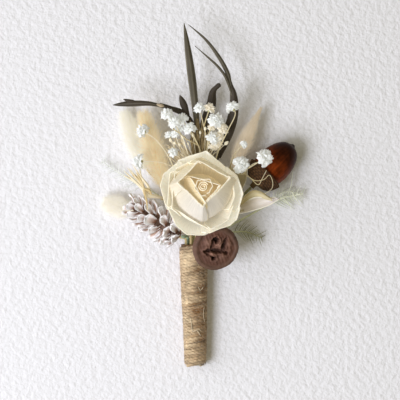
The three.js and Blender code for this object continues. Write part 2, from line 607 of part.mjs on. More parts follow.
// A fern frond: a thin rib with fine needles to both sides
function addFern(name, lane, through, needles, seed) {
  const random = seeded(seed);
  const line = [lanePoint(lane, STEM.mouth), ...through.map(point)];
  const rib = new THREE.CatmullRomCurve3(line, false, 'centripetal');
  const pieces = [stem(lane, through, { radius: NEEDLE.root })];
  const { from, count, reach } = needles;
  for (let k = 0; k < count; k += 1) {
    const t = mix(from, 0.985, k / (count - 1));
    const root = rib.getPointAt(t);
    const ahead = rib.getTangentAt(t);
    const side = ahead.clone().cross(UP).normalize().multiplyScalar(k % 2 ? 1 : -1);
    const length = reach * (0.7 + 0.5 * random()) * (1.1 - 0.6 * (t - from) / (1 - from));
    const out = ahead.clone().multiplyScalar(NEEDLE.forward).add(side)
      .addScaledVector(UP, NEEDLE.rise * random()).normalize();
    const end = root.clone().addScaledVector(out, length);
    pieces.push(loftAlong([root, end], UP, (s) => circle(mix(NEEDLE.root, NEEDLE.tip, s), NEEDLE.sides)));
  }
  add(name, fuse(pieces), { color: 0xc9cfc0, roughness: 0.9 });
}

function addFerns() {
  addFern('fern_right', LANES.fernRight,
    [[9, 4.4, 3.2], [18, 9.2, 2.4], [28, 14.6, 1.7], [36, 18.6, 1.8], [45.4, 20.8, 2.8]],
    { from: 0.7, count: 13, reach: 7 }, 21);
  addFern('fern_low', LANES.fernLow,
    [[7, 2, 1.6], [14, 4.2, 1.2], [21, 4.6, 1.3], [28, 2, 1.8]],
    { from: 0.55, count: 13, reach: 6 }, 22);
  addFern('fern_left', LANES.fernLeft,
    [[-3.4, 6, 1.4], [-8, 12.6, 1.2], [-17, 20.6, 1.2], [-28, 26.6, 1.4], [-40, 34.4, 2.2]],
    { from: 0.62, count: 13, reach: 6.5 }, 23);
}

addTwineWrap();
addRose();
addPod();
addAcorn();
addCone();
addBunnyTails();
addDarkLeaves();
addBabysBreath();
addPaleLeaves();
addFerns();

export default part;
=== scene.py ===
"""A rustic boutonniere lying on a pale floor, seen from straight above. Lengths are in millimetres
until a mesh is made, and the routes of the stems are those of the solids they stand for."""
import random

import bpy
import numpy as np
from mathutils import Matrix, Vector
from numpy import array, clip, concatenate, cos, cross, exp, linspace, maximum, pi, radians, sin, sqrt, stack
from numpy.linalg import norm


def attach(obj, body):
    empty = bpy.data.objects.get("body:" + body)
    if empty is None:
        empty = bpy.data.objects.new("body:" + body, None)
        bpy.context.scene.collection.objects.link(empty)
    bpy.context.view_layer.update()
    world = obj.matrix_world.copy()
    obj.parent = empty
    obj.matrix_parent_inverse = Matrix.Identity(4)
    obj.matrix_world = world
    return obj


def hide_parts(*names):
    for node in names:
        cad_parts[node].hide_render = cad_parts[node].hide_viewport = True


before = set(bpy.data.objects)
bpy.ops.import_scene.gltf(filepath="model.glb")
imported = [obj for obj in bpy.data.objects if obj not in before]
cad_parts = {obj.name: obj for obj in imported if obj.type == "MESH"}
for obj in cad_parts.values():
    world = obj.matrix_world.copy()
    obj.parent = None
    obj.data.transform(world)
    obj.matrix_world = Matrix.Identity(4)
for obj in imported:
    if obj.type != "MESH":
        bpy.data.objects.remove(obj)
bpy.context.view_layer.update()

MM = 0.001
GOLDEN_ANGLE = pi * (3 - sqrt(5))
AHEAD, UP = array([0.0, 1, 0]), array([0.0, 0, 1])


def srgb(*shown):
    """A linear colour from the three 0 to 255 values that a screen shows."""
    return ((array(shown) / 255 + 0.055) / 1.055) ** 2.4


def mix(a, b, t):
    return a + (b - a) * t


def smoothstep(x, low, high):
    t = clip((x - low) / (high - low), 0, 1)
    return t * t * (3 - 2 * t)


def unit(v):
    return v / norm(v)


def ease(values, start, end):
    """A colour for each value from 0 to 1, between two colours."""
    return mix(start, end, clip(values, 0, 1)[..., None])


# Geometry


def new_object(name, data):
    obj = bpy.data.objects.new(name, data)
    bpy.context.scene.collection.objects.link(obj)
    return obj


class Build:
    """The vertices, faces, colours and grain coordinates of one piece."""

    def __init__(self):
        self.points, self.faces, self.colours, self.grain = [], [], [], []
        self.count = 0

    def add(self, points, faces, colours, grain):
        """Colours and grain are given for each point, or one for all."""
        shape = points.shape[:-1]
        self.points.append(points.reshape(-1, 3))
        self.faces += [tuple(i + self.count for i in face) for face in faces]
        self.colours.append(np.broadcast_to(colours, (*shape, 3)).reshape(-1, 3))
        self.grain.append(np.broadcast_to(grain, (*shape, 2)).reshape(-1, 2))
        self.count += len(self.points[-1])

    def piece(self, name, node, slot, material):
        mesh = bpy.data.meshes.new(name)
        mesh.from_pydata((concatenate(self.points) * MM).tolist(), [], self.faces)
        tint = mesh.color_attributes.new("tint", "FLOAT_COLOR", "POINT")
        tint.data.foreach_set("color", np.insert(concatenate(self.colours), 3, 1, axis=1).ravel())
        corner = np.empty(len(mesh.loops), int)
        mesh.loops.foreach_get("vertex_index", corner)
        mesh.uv_layers.new(name="grain").data.foreach_set("uv", concatenate(self.grain)[corner].ravel())
        mesh.polygons.foreach_set("use_smooth", [True] * len(mesh.polygons))
        mesh.materials.append(material)
        mesh.update()
        obj = new_object(name, mesh)
        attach(obj, "root")
        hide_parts(node)


def curve(points, steps):
    """A centripetal Catmull-Rom curve through points, in equal steps of its spans."""
    points = np.asarray(points, float)
    padded = np.vstack([2 * points[0] - points[1], points, 2 * points[-1] - points[-2]])
    place = linspace(0, 1, steps + 1) * (len(points) - 1)
    span = np.minimum(place.astype(int), len(points) - 2)
    w = (place - span)[:, None]
    p0, p1, p2, p3 = (padded[span + k] for k in range(4))
    d0, d1, d2 = (sqrt(norm(a - b, axis=1))[:, None] for a, b in ((p0, p1), (p1, p2), (p2, p3)))
    m1 = ((p1 - p0) / d0 - (p2 - p0) / (d0 + d1) + (p2 - p1) / d1) * d1
    m2 = ((p2 - p1) / d1 - (p3 - p1) / (d1 + d2) + (p3 - p2) / d2) * d1
    return p1 + m1 * w + (3 * (p2 - p1) - 2 * m1 - m2) * w ** 2 + (2 * (p1 - p2) + m1 + m2) * w ** 3


def lengths(points):
    """How far each point lies along its line."""
    return concatenate([[0], np.cumsum(norm(np.diff(points, axis=0), axis=1))])


def directions(points):
    ahead = np.gradient(points, axis=0)
    return ahead / norm(ahead, axis=1)[:, None]


def ring_angles(count):
    return linspace(0, 2 * pi, count, endpoint=False)


def ring_faces(rings, around, caps=True):
    faces = [(r * around + k, r * around + (k + 1) % around,
              (r + 1) * around + (k + 1) % around, (r + 1) * around + k)
             for r in range(rings - 1) for k in range(around)]
    if caps:
        faces.append(tuple(reversed(range(around))))
        faces.append(tuple((rings - 1) * around + k for k in range(around)))
    return faces


def loft(build, points, sections, colours):
    """A skin over sections, which give [aside, above] for each place along the points."""
    ahead = directions(points)
    normal, normals = UP, []
    for tangent in ahead:
        # Turned as little as can be from one place to the next
        normal = unit(normal - tangent * (normal @ tangent))
        normals.append(normal)
    sides = cross(normals, ahead)
    rings = points[:, None] + sides[:, None] * sections[..., :1] + array(normals)[:, None] * sections[..., 1:]
    grain = stack(np.broadcast_arrays(sections[..., 0], lengths(points)[:, None]), -1)
    build.add(rings, ring_faces(*sections.shape[:2]), colours, grain)


def tube(build, points, radii, colours, sides=8):
    """A round rod, its radius and colour given for each point or one for all."""
    angles = ring_angles(sides)
    radii = np.broadcast_to(radii, len(points))[:, None, None]
    loft(build, points, radii * stack([cos(angles), sin(angles)], -1),
         colours[:, None] if colours.ndim == 2 else colours)


def twig(build, points, thick, thin, low, high, sides):
    """A rod that thins and turns from one colour to another."""
    share = linspace(0, 1, len(points))
    tube(build, points, mix(thick, thin, share), ease(share, low, high), sides)


def hair(build, points, width, colour):
    """A thin three-sided spike along a few points."""
    twig(build, points, width, 0.25 * width, colour, colour, 3)


def sheet(columns, rows, low=-1):
    """The share across, from low to 1, and the share up, from 0 to 1, for each point of a sheet."""
    return np.meshgrid(linspace(low, 1, columns), linspace(0, 1, rows))


def sheet_solid(build, grid, thickness, front, back, grain):
    """A closed sheet round a grid of points, thickness and colours given for each point."""
    rows, columns = grid.shape[:2]
    normal = cross(np.gradient(grid, axis=1), np.gradient(grid, axis=0))
    normal /= maximum(norm(normal, axis=2), 1e-9)[..., None]
    offset = normal * np.broadcast_to(thickness, (rows, columns))[..., None] / 2
    count = rows * columns
    index = np.arange(count).reshape(rows, columns)
    quads = stack([index[:-1, :-1], index[:-1, 1:], index[1:, 1:], index[1:, :-1]], -1).reshape(-1, 4)
    faces = stack([quads, count + quads[:, [0, 3, 2, 1]]], 1).reshape(-1, 4).tolist()
    edge = concatenate([index[:-1, 0], index[-1, :-1], index[:0:-1, -1], index[0, :0:-1]]).tolist()
    faces += [(p, q, count + q, count + p) for p, q in zip(edge, edge[1:] + edge[:1])]
    build.add(concatenate([grid + offset, grid - offset]), faces, concatenate([front, back]),
              concatenate([grain, grain]))


class Place:
    """Moves what grows along +Y so that it grows from one point towards another."""

    def __init__(self, start, towards):
        self.start = array(start, float)
        self.axis = unit(towards - self.start)
        self.turn = array(Vector((0, 1, 0)).rotation_difference(Vector(self.axis)).to_matrix())

    def __call__(self, points):
        return points @ self.turn.T + self.start


def about(radius, height, angle):
    """Points at a distance from the +Y axis, at a height along it and an angle round it."""
    return stack(np.broadcast_arrays(radius * cos(angle), height, -radius * sin(angle)), -1)


def lathe_grid(profile, columns):
    """Points of a turned surface: [row, column], from a profile of [radius, height]."""
    radius, height = np.asarray(profile, float).T[..., None]
    return about(radius, height, ring_angles(columns))


def turned(build, place, grid, colours):
    rows, columns = grid.shape[:2]
    grain = stack(np.meshgrid(linspace(0, 1, columns, endpoint=False), linspace(0, 1, rows)), -1)
    build.add(place(grid), ring_faces(rows, columns), colours, grain)


def spoke(angle):
    """The direction out from the +Y axis at an angle, and the one across it."""
    out = array([cos(angle), 0, sin(angle)])
    return out, cross(AHEAD, out)


def keep_above(points, least):
    """Lifts what would sink below a height."""
    points[..., 2] = maximum(points[..., 2], least)


# Materials


def fill(node, inputs):
    """Links each input that is given an output, and sets each that is given a value."""
    for key, value in inputs.items():
        if isinstance(value, bpy.types.NodeSocket):
            node.id_data.links.new(value, node.inputs[key])
        else:
            node.inputs[key].default_value = value


def add_node(tree, kind, inputs, **settings):
    """The outputs of a new shader node."""
    node = tree.nodes.new("ShaderNode" + kind)
    for key, value in settings.items():
        setattr(node, key, value)
    fill(node, inputs)
    return node.outputs


def new_material(name):
    made = bpy.data.materials.new(name)
    made.use_nodes = True
    return made, made.node_tree, made.node_tree.nodes["Principled BSDF"]


def material(name, roughness, mottle, fibre, bump, sheen=0.0, subsurface=0.0, specular=0.5, glow=0.0):
    """A surface coloured by the piece's tint, with soft mottling, streaks along its grain and a
    fine relief. mottle is (scale, amount), fibre (across, along, amount), bump (scale, strength,
    height in millimetres). glow is an emission: painted light that stands for the light that thin
    petals and hairs let through."""
    made, tree, shader = new_material(name)
    place = add_node(tree, "TexCoord", {})

    def noise(vector, scale, detail):
        return add_node(tree, "TexNoise", {"Vector": vector, "Scale": scale, "Detail": detail})["Fac"]

    def shaded(colour, texture, amount):
        factor = add_node(tree, "MapRange", {
            "Value": texture, "From Min": 0.3, "From Max": 0.7,
            "To Min": 1 - amount, "To Max": 1 + amount * 0.6})
        scaled = {0: colour, "Scale": factor["Result"]}
        return add_node(tree, "VectorMath", scaled, operation="SCALE")["Vector"]

    colour = add_node(tree, "Attribute", {}, attribute_name="tint")["Color"]
    colour = shaded(colour, noise(place["Object"], mottle[0], 4), mottle[1])
    height = noise(place["Object"], bump[0], 5)
    if fibre:
        across, lengthwise, amount = fibre
        stretched = add_node(tree, "Mapping", {"Vector": place["UV"], "Scale": (across, lengthwise, 1)})
        streaks = noise(stretched["Vector"], 1, 3)
        colour = shaded(colour, streaks, amount)
        height = add_node(tree, "Math", {0: height, 1: streaks}, operation="ADD")["Value"]
    relief = add_node(tree, "Bump", {"Height": height, "Strength": bump[1], "Distance": bump[2] * MM})
    fill(shader, {
        "Base Color": colour, "Normal": relief["Normal"], "Roughness": roughness, "Sheen Weight": sheen,
        "Specular IOR Level": specular, "Subsurface Weight": subsurface,
        "Subsurface Radius": (1.0, 0.9, 0.8), "Subsurface Scale": 0.6 * MM})
    if glow:
        fill(shader, {"Emission Color": colour, "Emission Strength": glow})
    return made


# The petals, bunny tails, baby's breath and ferns are given glow: painted light
TWINE = material("jute", 0.95, (420, 0.3), (26, 0.8, 0.3), (2500, 0.6, 0.2), sheen=0.2, specular=0.15)
PETAL = material("sola_petal", 0.75, (140, 0.05), (5.5, 0.16, 0.13), (900, 0.4, 0.08),
                 subsurface=0.5, specular=0.2, glow=0.24)
STEM = material("dry_stem", 0.8, (500, 0.2), (3, 0.3, 0.15), (1500, 0.3, 0.1))
POD = material("woody_capsule", 0.66, (300, 0.32), None, (900, 0.6, 0.3), specular=0.3)
SHELL = material("acorn_shell", 0.34, (420, 0.5), (60, 1.2, 0.3), (500, 0.12, 0.08), specular=0.07)
CUP = material("acorn_cup", 0.9, (500, 0.25), None, (1200, 0.6, 0.25), specular=0.25)
CONE = material("cone_scale", 0.8, (420, 0.2), (4, 0.35, 0.14), (1500, 0.45, 0.15), specular=0.3)
TAPE = material("floral_tape", 0.6, (500, 0.2), (3, 0.8, 0.15), (900, 0.4, 0.15))
TAIL = material("grass_hair", 0.9, (200, 0.08), None, (900, 0.1, 0.05),
                sheen=0.2, subsurface=0.4, specular=0.1, glow=0.2)
DARK = material("dark_leaf", 0.62, (240, 0.22), (5, 0.14, 0.2), (900, 0.4, 0.12), specular=0.35)
BREATH = material("babys_breath", 0.85, (700, 0.08), None, (1500, 0.2, 0.06),
                  subsurface=0.3, specular=0.15, glow=0.15)
CREAM = material("cream_leaf", 0.7, (260, 0.07), (4, 0.14, 0.09), (700, 0.3, 0.1), subsurface=0.15)
STRAW = material("straw_leaf", 0.7, (260, 0.1), (6, 0.14, 0.16), (700, 0.35, 0.1))
FERN = material("pale_fern", 0.85, (500, 0.15), None, (900, 0.2, 0.06), glow=0.24)

# The twine handle and the lanes of the stems in it

LIP, LENGTH, HANDLE_SIDES = 0.8, 52.8, 10
TOP, END, BORE_TOP, BORE_END, RIDGE, FLAT = 6.4, 4.85, 5.3, 3.85, 0.35, 0.15


def in_groove(radius):
    return (radius - RIDGE) * cos(pi / HANDLE_SIDES) - FLAT


HANDLE_LEAN = np.arcsin((in_groove(TOP) - in_groove(END)) / LENGTH)
HANDLE_HEIGHT = in_groove(TOP)


def leaned(x, y, z):
    """From the handle's own axis to its place, leaning so that its back lies level."""
    c, s = cos(HANDLE_LEAN), sin(HANDLE_LEAN)
    return stack(np.broadcast_arrays(x, y * c - z * s, y * s + z * c + HANDLE_HEIGHT), -1)


# Where each stem lies in the twine, by its node: how many pitches from the middle, and the angle
LANES = {"babys_breath_middle": (0, 0)}
for ring, first, stems in (
        (1, 0, ("bunny_tail_right", "babys_breath_right", "babys_breath_left", "bunny_tail_pale",
                "dark_leaf_left", "cream_leaf_back")),
        (sqrt(3), 30, ("pod_stem", "rose_stem", "cone_wire", "bunny_tail_low",
                       "dark_leaf_right", "fern_right")),
        (2, 0, ("acorn_wire", "cream_leaf_right", "straw_leaf_left", "bunny_tail_tall",
                "fern_left", "fern_low"))):
    LANES.update({node: (ring, first + 60 * k) for k, node in enumerate(stems)})
TOP_PITCH, END_PITCH, STEM_RADIUS = 2.1, 1.42, 0.55
LANE_MOUTH, LANE_END = 1.7, LIP - LENGTH + 0.4
STRAW_STEM = srgb(190, 172, 126)


def lane_point(node, y):
    pitches, angle = LANES[node]
    reach = pitches * mix(TOP_PITCH, END_PITCH, -y / LENGTH)
    return leaned(reach * cos(radians(angle)), y, reach * sin(radians(angle)))


def stem(build, node, through, colour=STRAW_STEM, tip_colour=None, radius=STEM_RADIUS, tip_radius=None):
    """A stem from its cut end in the twine, along its lane and through the points given."""
    end, mouth = lane_point(node, LANE_END), lane_point(node, LANE_MOUTH)
    points = np.vstack([end, mix(end, mouth, 0.5), curve([mouth, *through], 8 * len(through))])
    share = linspace(0, 1, len(points))
    radii = mix(radius, tip_radius or radius, smoothstep(share, 0.4, 1))
    tip_colour = colour if tip_colour is None else tip_colour
    tube(build, points, radii, ease(smoothstep(share, 0.5, 1), colour, tip_colour))


def stalk(name, node, slot, surface, through, colour=STRAW_STEM, radius=STEM_RADIUS):
    """A stem that is a piece of its own."""
    build = Build()
    stem(build, node, through, colour, radius=radius)
    build.piece(name, node, slot, surface)


# Painted shade and light in patches on the upper face, darker down its right half and along its
# right edge and lighter on its left: [x, y, half width, half length, shade]
TWINE_PAINTED_SHADING = [
    (1.8, -12, 2.4, 2.4, -0.9), (2.2, -20.4, 2.6, 2.4, -0.9), (1.0, -28.6, 2.6, 3.4, -1.1),
    (2.0, -34, 2.8, 2.6, -0.8), (2.6, -41.4, 2.2, 2.4, -1.0), (3.8, -26, 1.2, 22, -0.35),
    (-2.6, -7.6, 2.2, 3, 0.7), (-3, -24.2, 2.2, 1.2, 0.8), (-3.0, -30, 1.6, 4, 0.5),
    (-2.4, -37.4, 2.4, 1.6, 0.7), (-1.8, -45.6, 2.6, 2.4, 0.5), (-1.6, -18, 2, 2, 0.6)]
# Dark bands across the turns, and loose strands, as where an end is tucked under: [x, y] and width
TWINE_SEAMS = -12.9, -25.3, -39.1
TWINE_STRANDS = [
    ([[1.0, -18.3], [1.7, -19.6], [2.3, -19.4], [3.0, -18.5]], 0.15),
    ([[-2.2, -31.5], [-1.9, -34], [-1.2, -37], [0.2, -36.5], [1.2, -37.6], [1.9, -38.8]], 0.17),
    ([[0.1, -36.2], [1.3, -36], [1.9, -36.8]], 0.12), ([[3.4, -27], [3.1, -30], [3.6, -33]], 0.1)]
TWINE_TURNS, TURN_STEPS, CORD_SIDES, CORD_RADIUS, FIBRES = 42, 72, 9, 0.62, 2400


def sway(y):
    """How far the middle of the handle lies to the left, at each distance from its mouth."""
    return mix(-1.0, -0.3, smoothstep(-y, 2, 50))


def twine_handle():
    rng = random.Random(5)
    build = Build()
    steps = TWINE_TURNS * TURN_STEPS
    share = linspace(0, 1, steps + 1)
    swing = share * TWINE_TURNS * 2 * pi + 0.7

    def waves(slow, quick):
        return sum(sin(swing * rng.uniform(slow, quick) + rng.uniform(0, 6)) for _ in range(6)) / 6

    # The turns bunch up and bulge in places, as hand-wound string does
    bunching, bulging = waves(0.03, 0.5), waves(0.04, 1.2)
    radius = (mix(TOP, END, share) - 0.3 - CORD_RADIUS + 0.14 * bulging
              - 1.3 * smoothstep(share, 0.955, 1.0) ** 2 - 0.5 * smoothstep(0.02 - share, 0, 0.02))
    y = LIP - 2.3 - (LENGTH - 2.5) * share + 0.22 * bunching
    # Two plies twist round each other along the string
    length = np.arange(steps + 1) * 2 * pi * 5.2 / TURN_STEPS
    alpha = ring_angles(CORD_SIDES)
    rolled = alpha - (length * 2 * pi / 4.4)[:, None]
    ply = 1 + 0.17 * cos(2 * rolled)
    out = radius[:, None] + CORD_RADIUS * ply * cos(alpha)
    across = (y + 0.6 * cos(swing))[:, None] + 0.82 * ply * sin(alpha)
    points = leaned(out * cos(swing)[:, None] + sway(across), across, out * sin(swing)[:, None])
    keep_above(points, 0.02 + 0.02 * cos(alpha))
    tone = 0.5 + 0.35 * sin(length / 3.1 + 2 * bunching) * sin(length / 7.7) + 0.25 * sin(length / 41)
    x_at = radius * cos(swing)
    # Painted shade and painted light, in patches on the upper face only
    painted_shading = sum(strength * exp(-((x_at - x) / wide) ** 2 - ((y - at) / long) ** 2)
                 for x, at, wide, long, strength in TWINE_PAINTED_SHADING)
    painted_shading = 0.5 * np.where(sin(swing) > 0, painted_shading, 0)
    # The turns are also painted lighter towards the handle's left side: painted light
    base = ease(0.3 + 0.45 * clip(tone, 0, 1) + 0.06 * smoothstep(-x_at, -1, 4) + painted_shading,
                srgb(142, 102, 62), srgb(248, 223, 183))
    seams = clip(sum(exp(-((y - at) / 0.5) ** 2) for at in TWINE_SEAMS), 0, 1) * smoothstep(x_at, -4.5, -1)
    base *= 1 - array([0.3, 0.38, 0.46]) * seams[:, None]
    # Each cord is painted darker on its sides and underside, where the turns meet, and a little between its
    # plies: painted shade
    colours = base[:, None] * mix(0.62, 1.0, smoothstep(ply * cos(alpha), -0.3, 0.9))[..., None]
    grain = stack(np.broadcast_arrays(rolled / (2 * pi), length[:, None] / 6), -1)
    build.add(points, ring_faces(steps + 1, CORD_SIDES), colours, grain)
    # The layer under the outer turns, with the bore that the stems fill
    columns, rim = 40, [BORE_TOP, -0.6]
    wall = [rim, [TOP - 1.1, -0.8], [END - 1.3, -51.2], [BORE_END - 0.2, -51.4], rim]
    x, y, z = np.moveaxis(lathe_grid(wall, columns), -1, 0)
    inner = leaned(x + sway(y), y, z)
    keep_above(inner, 0.3)
    build.add(inner, ring_faces(len(wall), columns, caps=False), srgb(110, 84, 58), 0)
    # Loose fibres
    t = linspace(0, 1, 5)
    for _ in range(FIBRES):
        share = rng.random()
        angle = rng.uniform(-0.35, pi + 0.35)
        radius = mix(TOP, END, share) - 0.42
        y = LIP - 2 - (LENGTH - 3) * share
        turn = angle + rng.uniform(1.2, 4.6) * rng.choice((-1, 1)) * t / radius
        reach = radius + rng.uniform(0.02, 0.5) ** 1.5 * 1.6 * t ** 1.6
        line = leaned(reach * cos(turn) + sway(y), y + rng.uniform(-1.6, 1.6) * t, reach * sin(turn))
        keep_above(line, 0.1)
        shade = ease(rng.random() ** 1.5, srgb(150, 112, 72), srgb(246, 226, 196))
        hair(build, line, rng.uniform(0.04, 0.085), shade)
    for strand, width in TWINE_STRANDS:
        x, y = array(strand).T
        line = leaned(x, y, sqrt((mix(TOP, END, -y / LENGTH) - 0.1) ** 2 - (x - sway(y)) ** 2))
        tube(build, curve(line, 30), width, srgb(240, 222, 190), sides=5)
    build.piece("twine_turns", "twine_wrap", "twine", TWINE)


# The rose

ROSE_BASE, ROSE_AXIS, ROSE_LAP = array([1.9, 18.2, 15]), unit([0.07, 0.33, 0.94]), 0.42
SEEN_LEAN = 0.944
# One row for each layer: the corners of its rim as seen from above, from the axis at the height of
# the rim; the degrees that its petals span; the radii from its foot up to the rim; the heights from
# its foot to the rim; and the colours of its outer and inner faces
ROSE_LAYERS = [
    ([(0.9, 17.5), (-10.5, 12.4), (-16.5, 6.3), (-17.6, 1.6), (-13.9, -7.8), (-10, -14.8), (-5.4, -18),
      (4.1, -17), (12.3, -12.8), (14.8, -10.3), (17.4, 0.4), (14.1, 7.8)],
     [(46, 134), (-24, 56), (-88, -14), (-162, -78), (122, 208)],
     [2.2, 9.6, 15.2], [0.2, 0.9, 4.4, 9.6], (236, 233, 224), (237, 234, 223)),
    ([(-14.1, 6.8), (-14.1, -7.2), (4.6, -16), (11.6, -11.2), (13.6, -1.2), (11.9, 7.2), (-1, 14.4)],
     [(140, 222), (206, 290), (278, 342), (330, 398), (384, 508)],
     [2, 9.2, 13.4], [2, 3, 7, 11.2], (228, 223, 212), (229, 223, 205)),
    ([(-12.2, 6.4), (-12.2, -8.4), (-2, -14.2), (10, -11.4), (12, -1), (10.4, 7), (-2, 12.6)],
     [(136, 232)], [2, 8.8, 12.8], [2.6, 3.8, 7.6, 12], (228, 223, 210), (229, 222, 201)),
    ([(-10.3, 0.9), (0.3, -7.8), (10.9, 4.6), (-2.6, 10.4)], [(164, 284), (262, 396), (372, 478), (450, 556)],
     [1.8, 9.8, 13.9], [3.8, 5.2, 9.4, 16.1], (209, 204, 197), (220, 207, 174)),
    ([(-5.5, 3.6), (1.2, -6.3), (6.9, 1.3)], [(138, 291), (272, 378), (352, 510)],
     [1.6, 7.4, 9.7], [6, 8.2, 11, 16.2], (217, 203, 168), (214, 196, 158)),
    ([(-2.7, 2.6), (-3.3, -1), (-0.4, -3.7), (2.9, -2.3), (3.9, 0.5), (2.4, 3.1)], [(-70, 118), (96, 300)],
     [1.2, 3.4, 4.4], [8, 10.5, 13.4, 16.3], (214, 198, 161), (212, 193, 153)),
]
# The rolled bud, and the folded petals between it and the open ones as [radius, height]
BUD_OUTER, BUD_INNER, BUD_FLARE, BUD_TURNS, BUD_FOOT, BUD_TOP = 2.1, 0.4, 1.05, 2.3, 11, 16.4
ROSE_DOME = [[1.6, 0], [3, 1.2], [4.4, 6], [7, 9.6], [6.8, 11.2], [5.4, 13], [3.6, 14.1], [2, 14.5],
             [0.3, 14.6]]


def polygon_radius(corners, angles):
    """How far the edges of a polygon lie from its middle, at each angle."""
    best = np.full(np.shape(angles), np.inf)
    for (ax, ay), (bx, by) in zip(corners, np.roll(corners, -1, axis=0)):
        dx, dy = bx - ax, by - ay
        down = cos(angles) * dy - sin(angles) * dx
        reach = (ax * dy - ay * dx) / np.where(np.abs(down) < 1e-9, 1e-9, down)
        share = ((reach * cos(angles) - ax) * dx + (reach * sin(angles) - ay) * dy) / (dx * dx + dy * dy)
        hit = (reach > 0) & (share > -1e-6) & (share < 1 + 1e-6)
        best = np.where(hit & (reach < best), reach, best)
    return best


def even_spline(controls, t):
    """An even Catmull-Rom curve through a short list of arrays, at each t from 0 to 1."""
    controls = [2 * controls[0] - controls[1], *controls, 2 * controls[-1] - controls[-2]]
    spans = len(controls) - 3
    place = clip(t, 0, 1) * spans
    span = np.minimum(place.astype(int), spans - 1)
    w = place - span
    layers = stack([np.broadcast_to(c, t.shape) for c in controls])
    p0, p1, p2, p3 = (np.take_along_axis(layers, (span + k)[None], 0)[0] for k in range(4))
    return 0.5 * (2 * p1 + (p2 - p0) * w + (2 * p0 - 5 * p1 + 4 * p2 - p3) * w ** 2
                  + (3 * p1 - p0 - 3 * p2 + p3) * w ** 3)


def rose():
    rng = random.Random(11)
    place = Place(ROSE_BASE, ROSE_BASE + ROSE_AXIS)
    build = Build()
    rim_colour = srgb(244, 235, 214)
    for corners, petals, radii, heights, outer, inner in ROSE_LAYERS:
        outer, inner = srgb(*outer), srgb(*inner)
        corners = array([[x, y / SEEN_LEAN] for x, y in corners])
        mean = np.mean(np.hypot(*corners.T))
        for k, (low, high) in enumerate(petals):
            u, v = sheet(15 + 2 * int((high - low) / 5), 30)
            angle = radians(mix(low, high, (u + 1) / 2))
            phase = [rng.uniform(0, 6) for _ in range(4)]
            nicks = 0.006 * sin(23 * u + phase[0]) + 0.004 * sin(41 * u + phase[1])
            t = v * (1 - 0.2 * smoothstep(np.abs(u), 0.82, 1.0) ** 2 + nicks)
            rim = polygon_radius(corners, angle)
            shape = [r * mix(1, rim / mean, share) for r, share in zip(radii, (0, 0.35, 0.45))]
            r, h = even_spline([*shape, rim], t), even_spline(heights, t)
            slope_r, slope_h = np.gradient(r, axis=0), np.gradient(h, axis=0)
            size = maximum(np.hypot(slope_r, slope_h), 1e-6)
            wave = 0.1 * v ** 2 * (sin(5 * u + phase[2]) + 0.5 * sin(11 * u + phase[3]))
            shift = ROSE_LAP * u + wave
            grid = about(r + shift * slope_h / size, h - shift * slope_r / size, angle)
            edge = maximum(smoothstep(t, 0.965, 0.99),
                              smoothstep(np.abs(u), 0.972, 0.995) * smoothstep(v, 0.5, 0.9))
            # Petals are painted darker towards their feet, deep in the rose: painted shade
            lit = mix(0.8, 1, smoothstep(v, 0.15, 0.8))[..., None]
            front = ease(edge, ease(0.55 + 0.45 * sin(angle), outer, inner) * lit, rim_colour)
            back = ease(edge, inner * lit, rim_colour)
            grain = stack([angle * 13, t * 24 + 40 * k], -1)
            sheet_solid(build, place(grid), mix(0.5, 0.3, v), front, back, grain)
    s, v = sheet(150, 12, low=0)
    angle = 2 * pi * BUD_TURNS * s + 0.5
    top = BUD_TOP - 0.3 * s + 0.15 * sin(angle * 1.3)
    grid = about(mix(BUD_OUTER, BUD_INNER, s) * mix(BUD_FLARE, 1, v), mix(BUD_FOOT, top, v), angle)
    tone = ease(v ** 6, srgb(210, 188, 146), srgb(224, 208, 172))
    lit = ease(smoothstep(v, 0.95, 0.99), tone, srgb(250, 239, 213))
    sheet_solid(build, place(grid), 0.3, lit, lit, stack([s * 40, v * 9], -1))
    warm = ease(linspace(0, 1, len(ROSE_DOME)), srgb(222, 206, 168), srgb(212, 191, 149))[:, None]
    turned(build, place, lathe_grid(ROSE_DOME, 48), warm)
    build.piece("rose_petals", "sola_rose", "wood_petal", PETAL)
    foot = ROSE_BASE - ROSE_AXIS * 1.35
    stalk("rose_stalk", "rose_stem", "dry_stem", STEM,
          [[0.3, 6, 9.8], [0.9, 11.4, 10.2], [1.5, 15.4, 11.6], foot - ROSE_AXIS * 0.9, foot])


# The gumnut

GUMNUT_BASE, GUMNUT_FACE = [6.9, 0.25, 11], [8.4, -2.25, 19.5]
GUMNUT_OUTSIDE = [[1.1, 0], [2.4, 0.8], [5.8, 2], [8.4, 4], [9.7, 6.6], [9.6, 8], [9.2, 8.7], [8.8, 9.05]]
# Slits of the face as seen from above, from its middle: [x, y, to x, to y, half width, depth], and its
# bosses: [x, y, width, height]
GUMNUT_SLITS = [
    (-1.9, 4.3, -2.2, 0.3, 0.3, 0.5), (-1.2, 4.2, -0.7, 3.4, 0.75, 1.0), (-4.2, -1.9, -2.6, -0.9, 0.45, 0.9),
    (-2.6, -0.9, 2.5, -0.6, 0.45, 0.75), (2.7, -0.6, 2.6, 2.4, 0.5, 0.75), (2.7, 2.4, 3.2, 4.9, 0.25, 0.6),
    (2.6, -0.6, 4.8, -0.9, 0.35, 0.6), (-3.9, -2.2, -0.4, -4.1, 0.2, 0.45), (-0.3, -4.0, 0.2, -4.4, 0.4, 0.9)]
GUMNUT_BOSSES = [(0.6, 2.4, 1.2, 1.2), (5.0, 3.2, 1.1, 0.9), (-4.3, 2.2, 1.4, 0.8), (-1.2, -2.4, 1.2, 0.9),
                 (3.4, -3.0, 1.5, 0.6), (5.4, 0.6, 0.9, 0.5)]


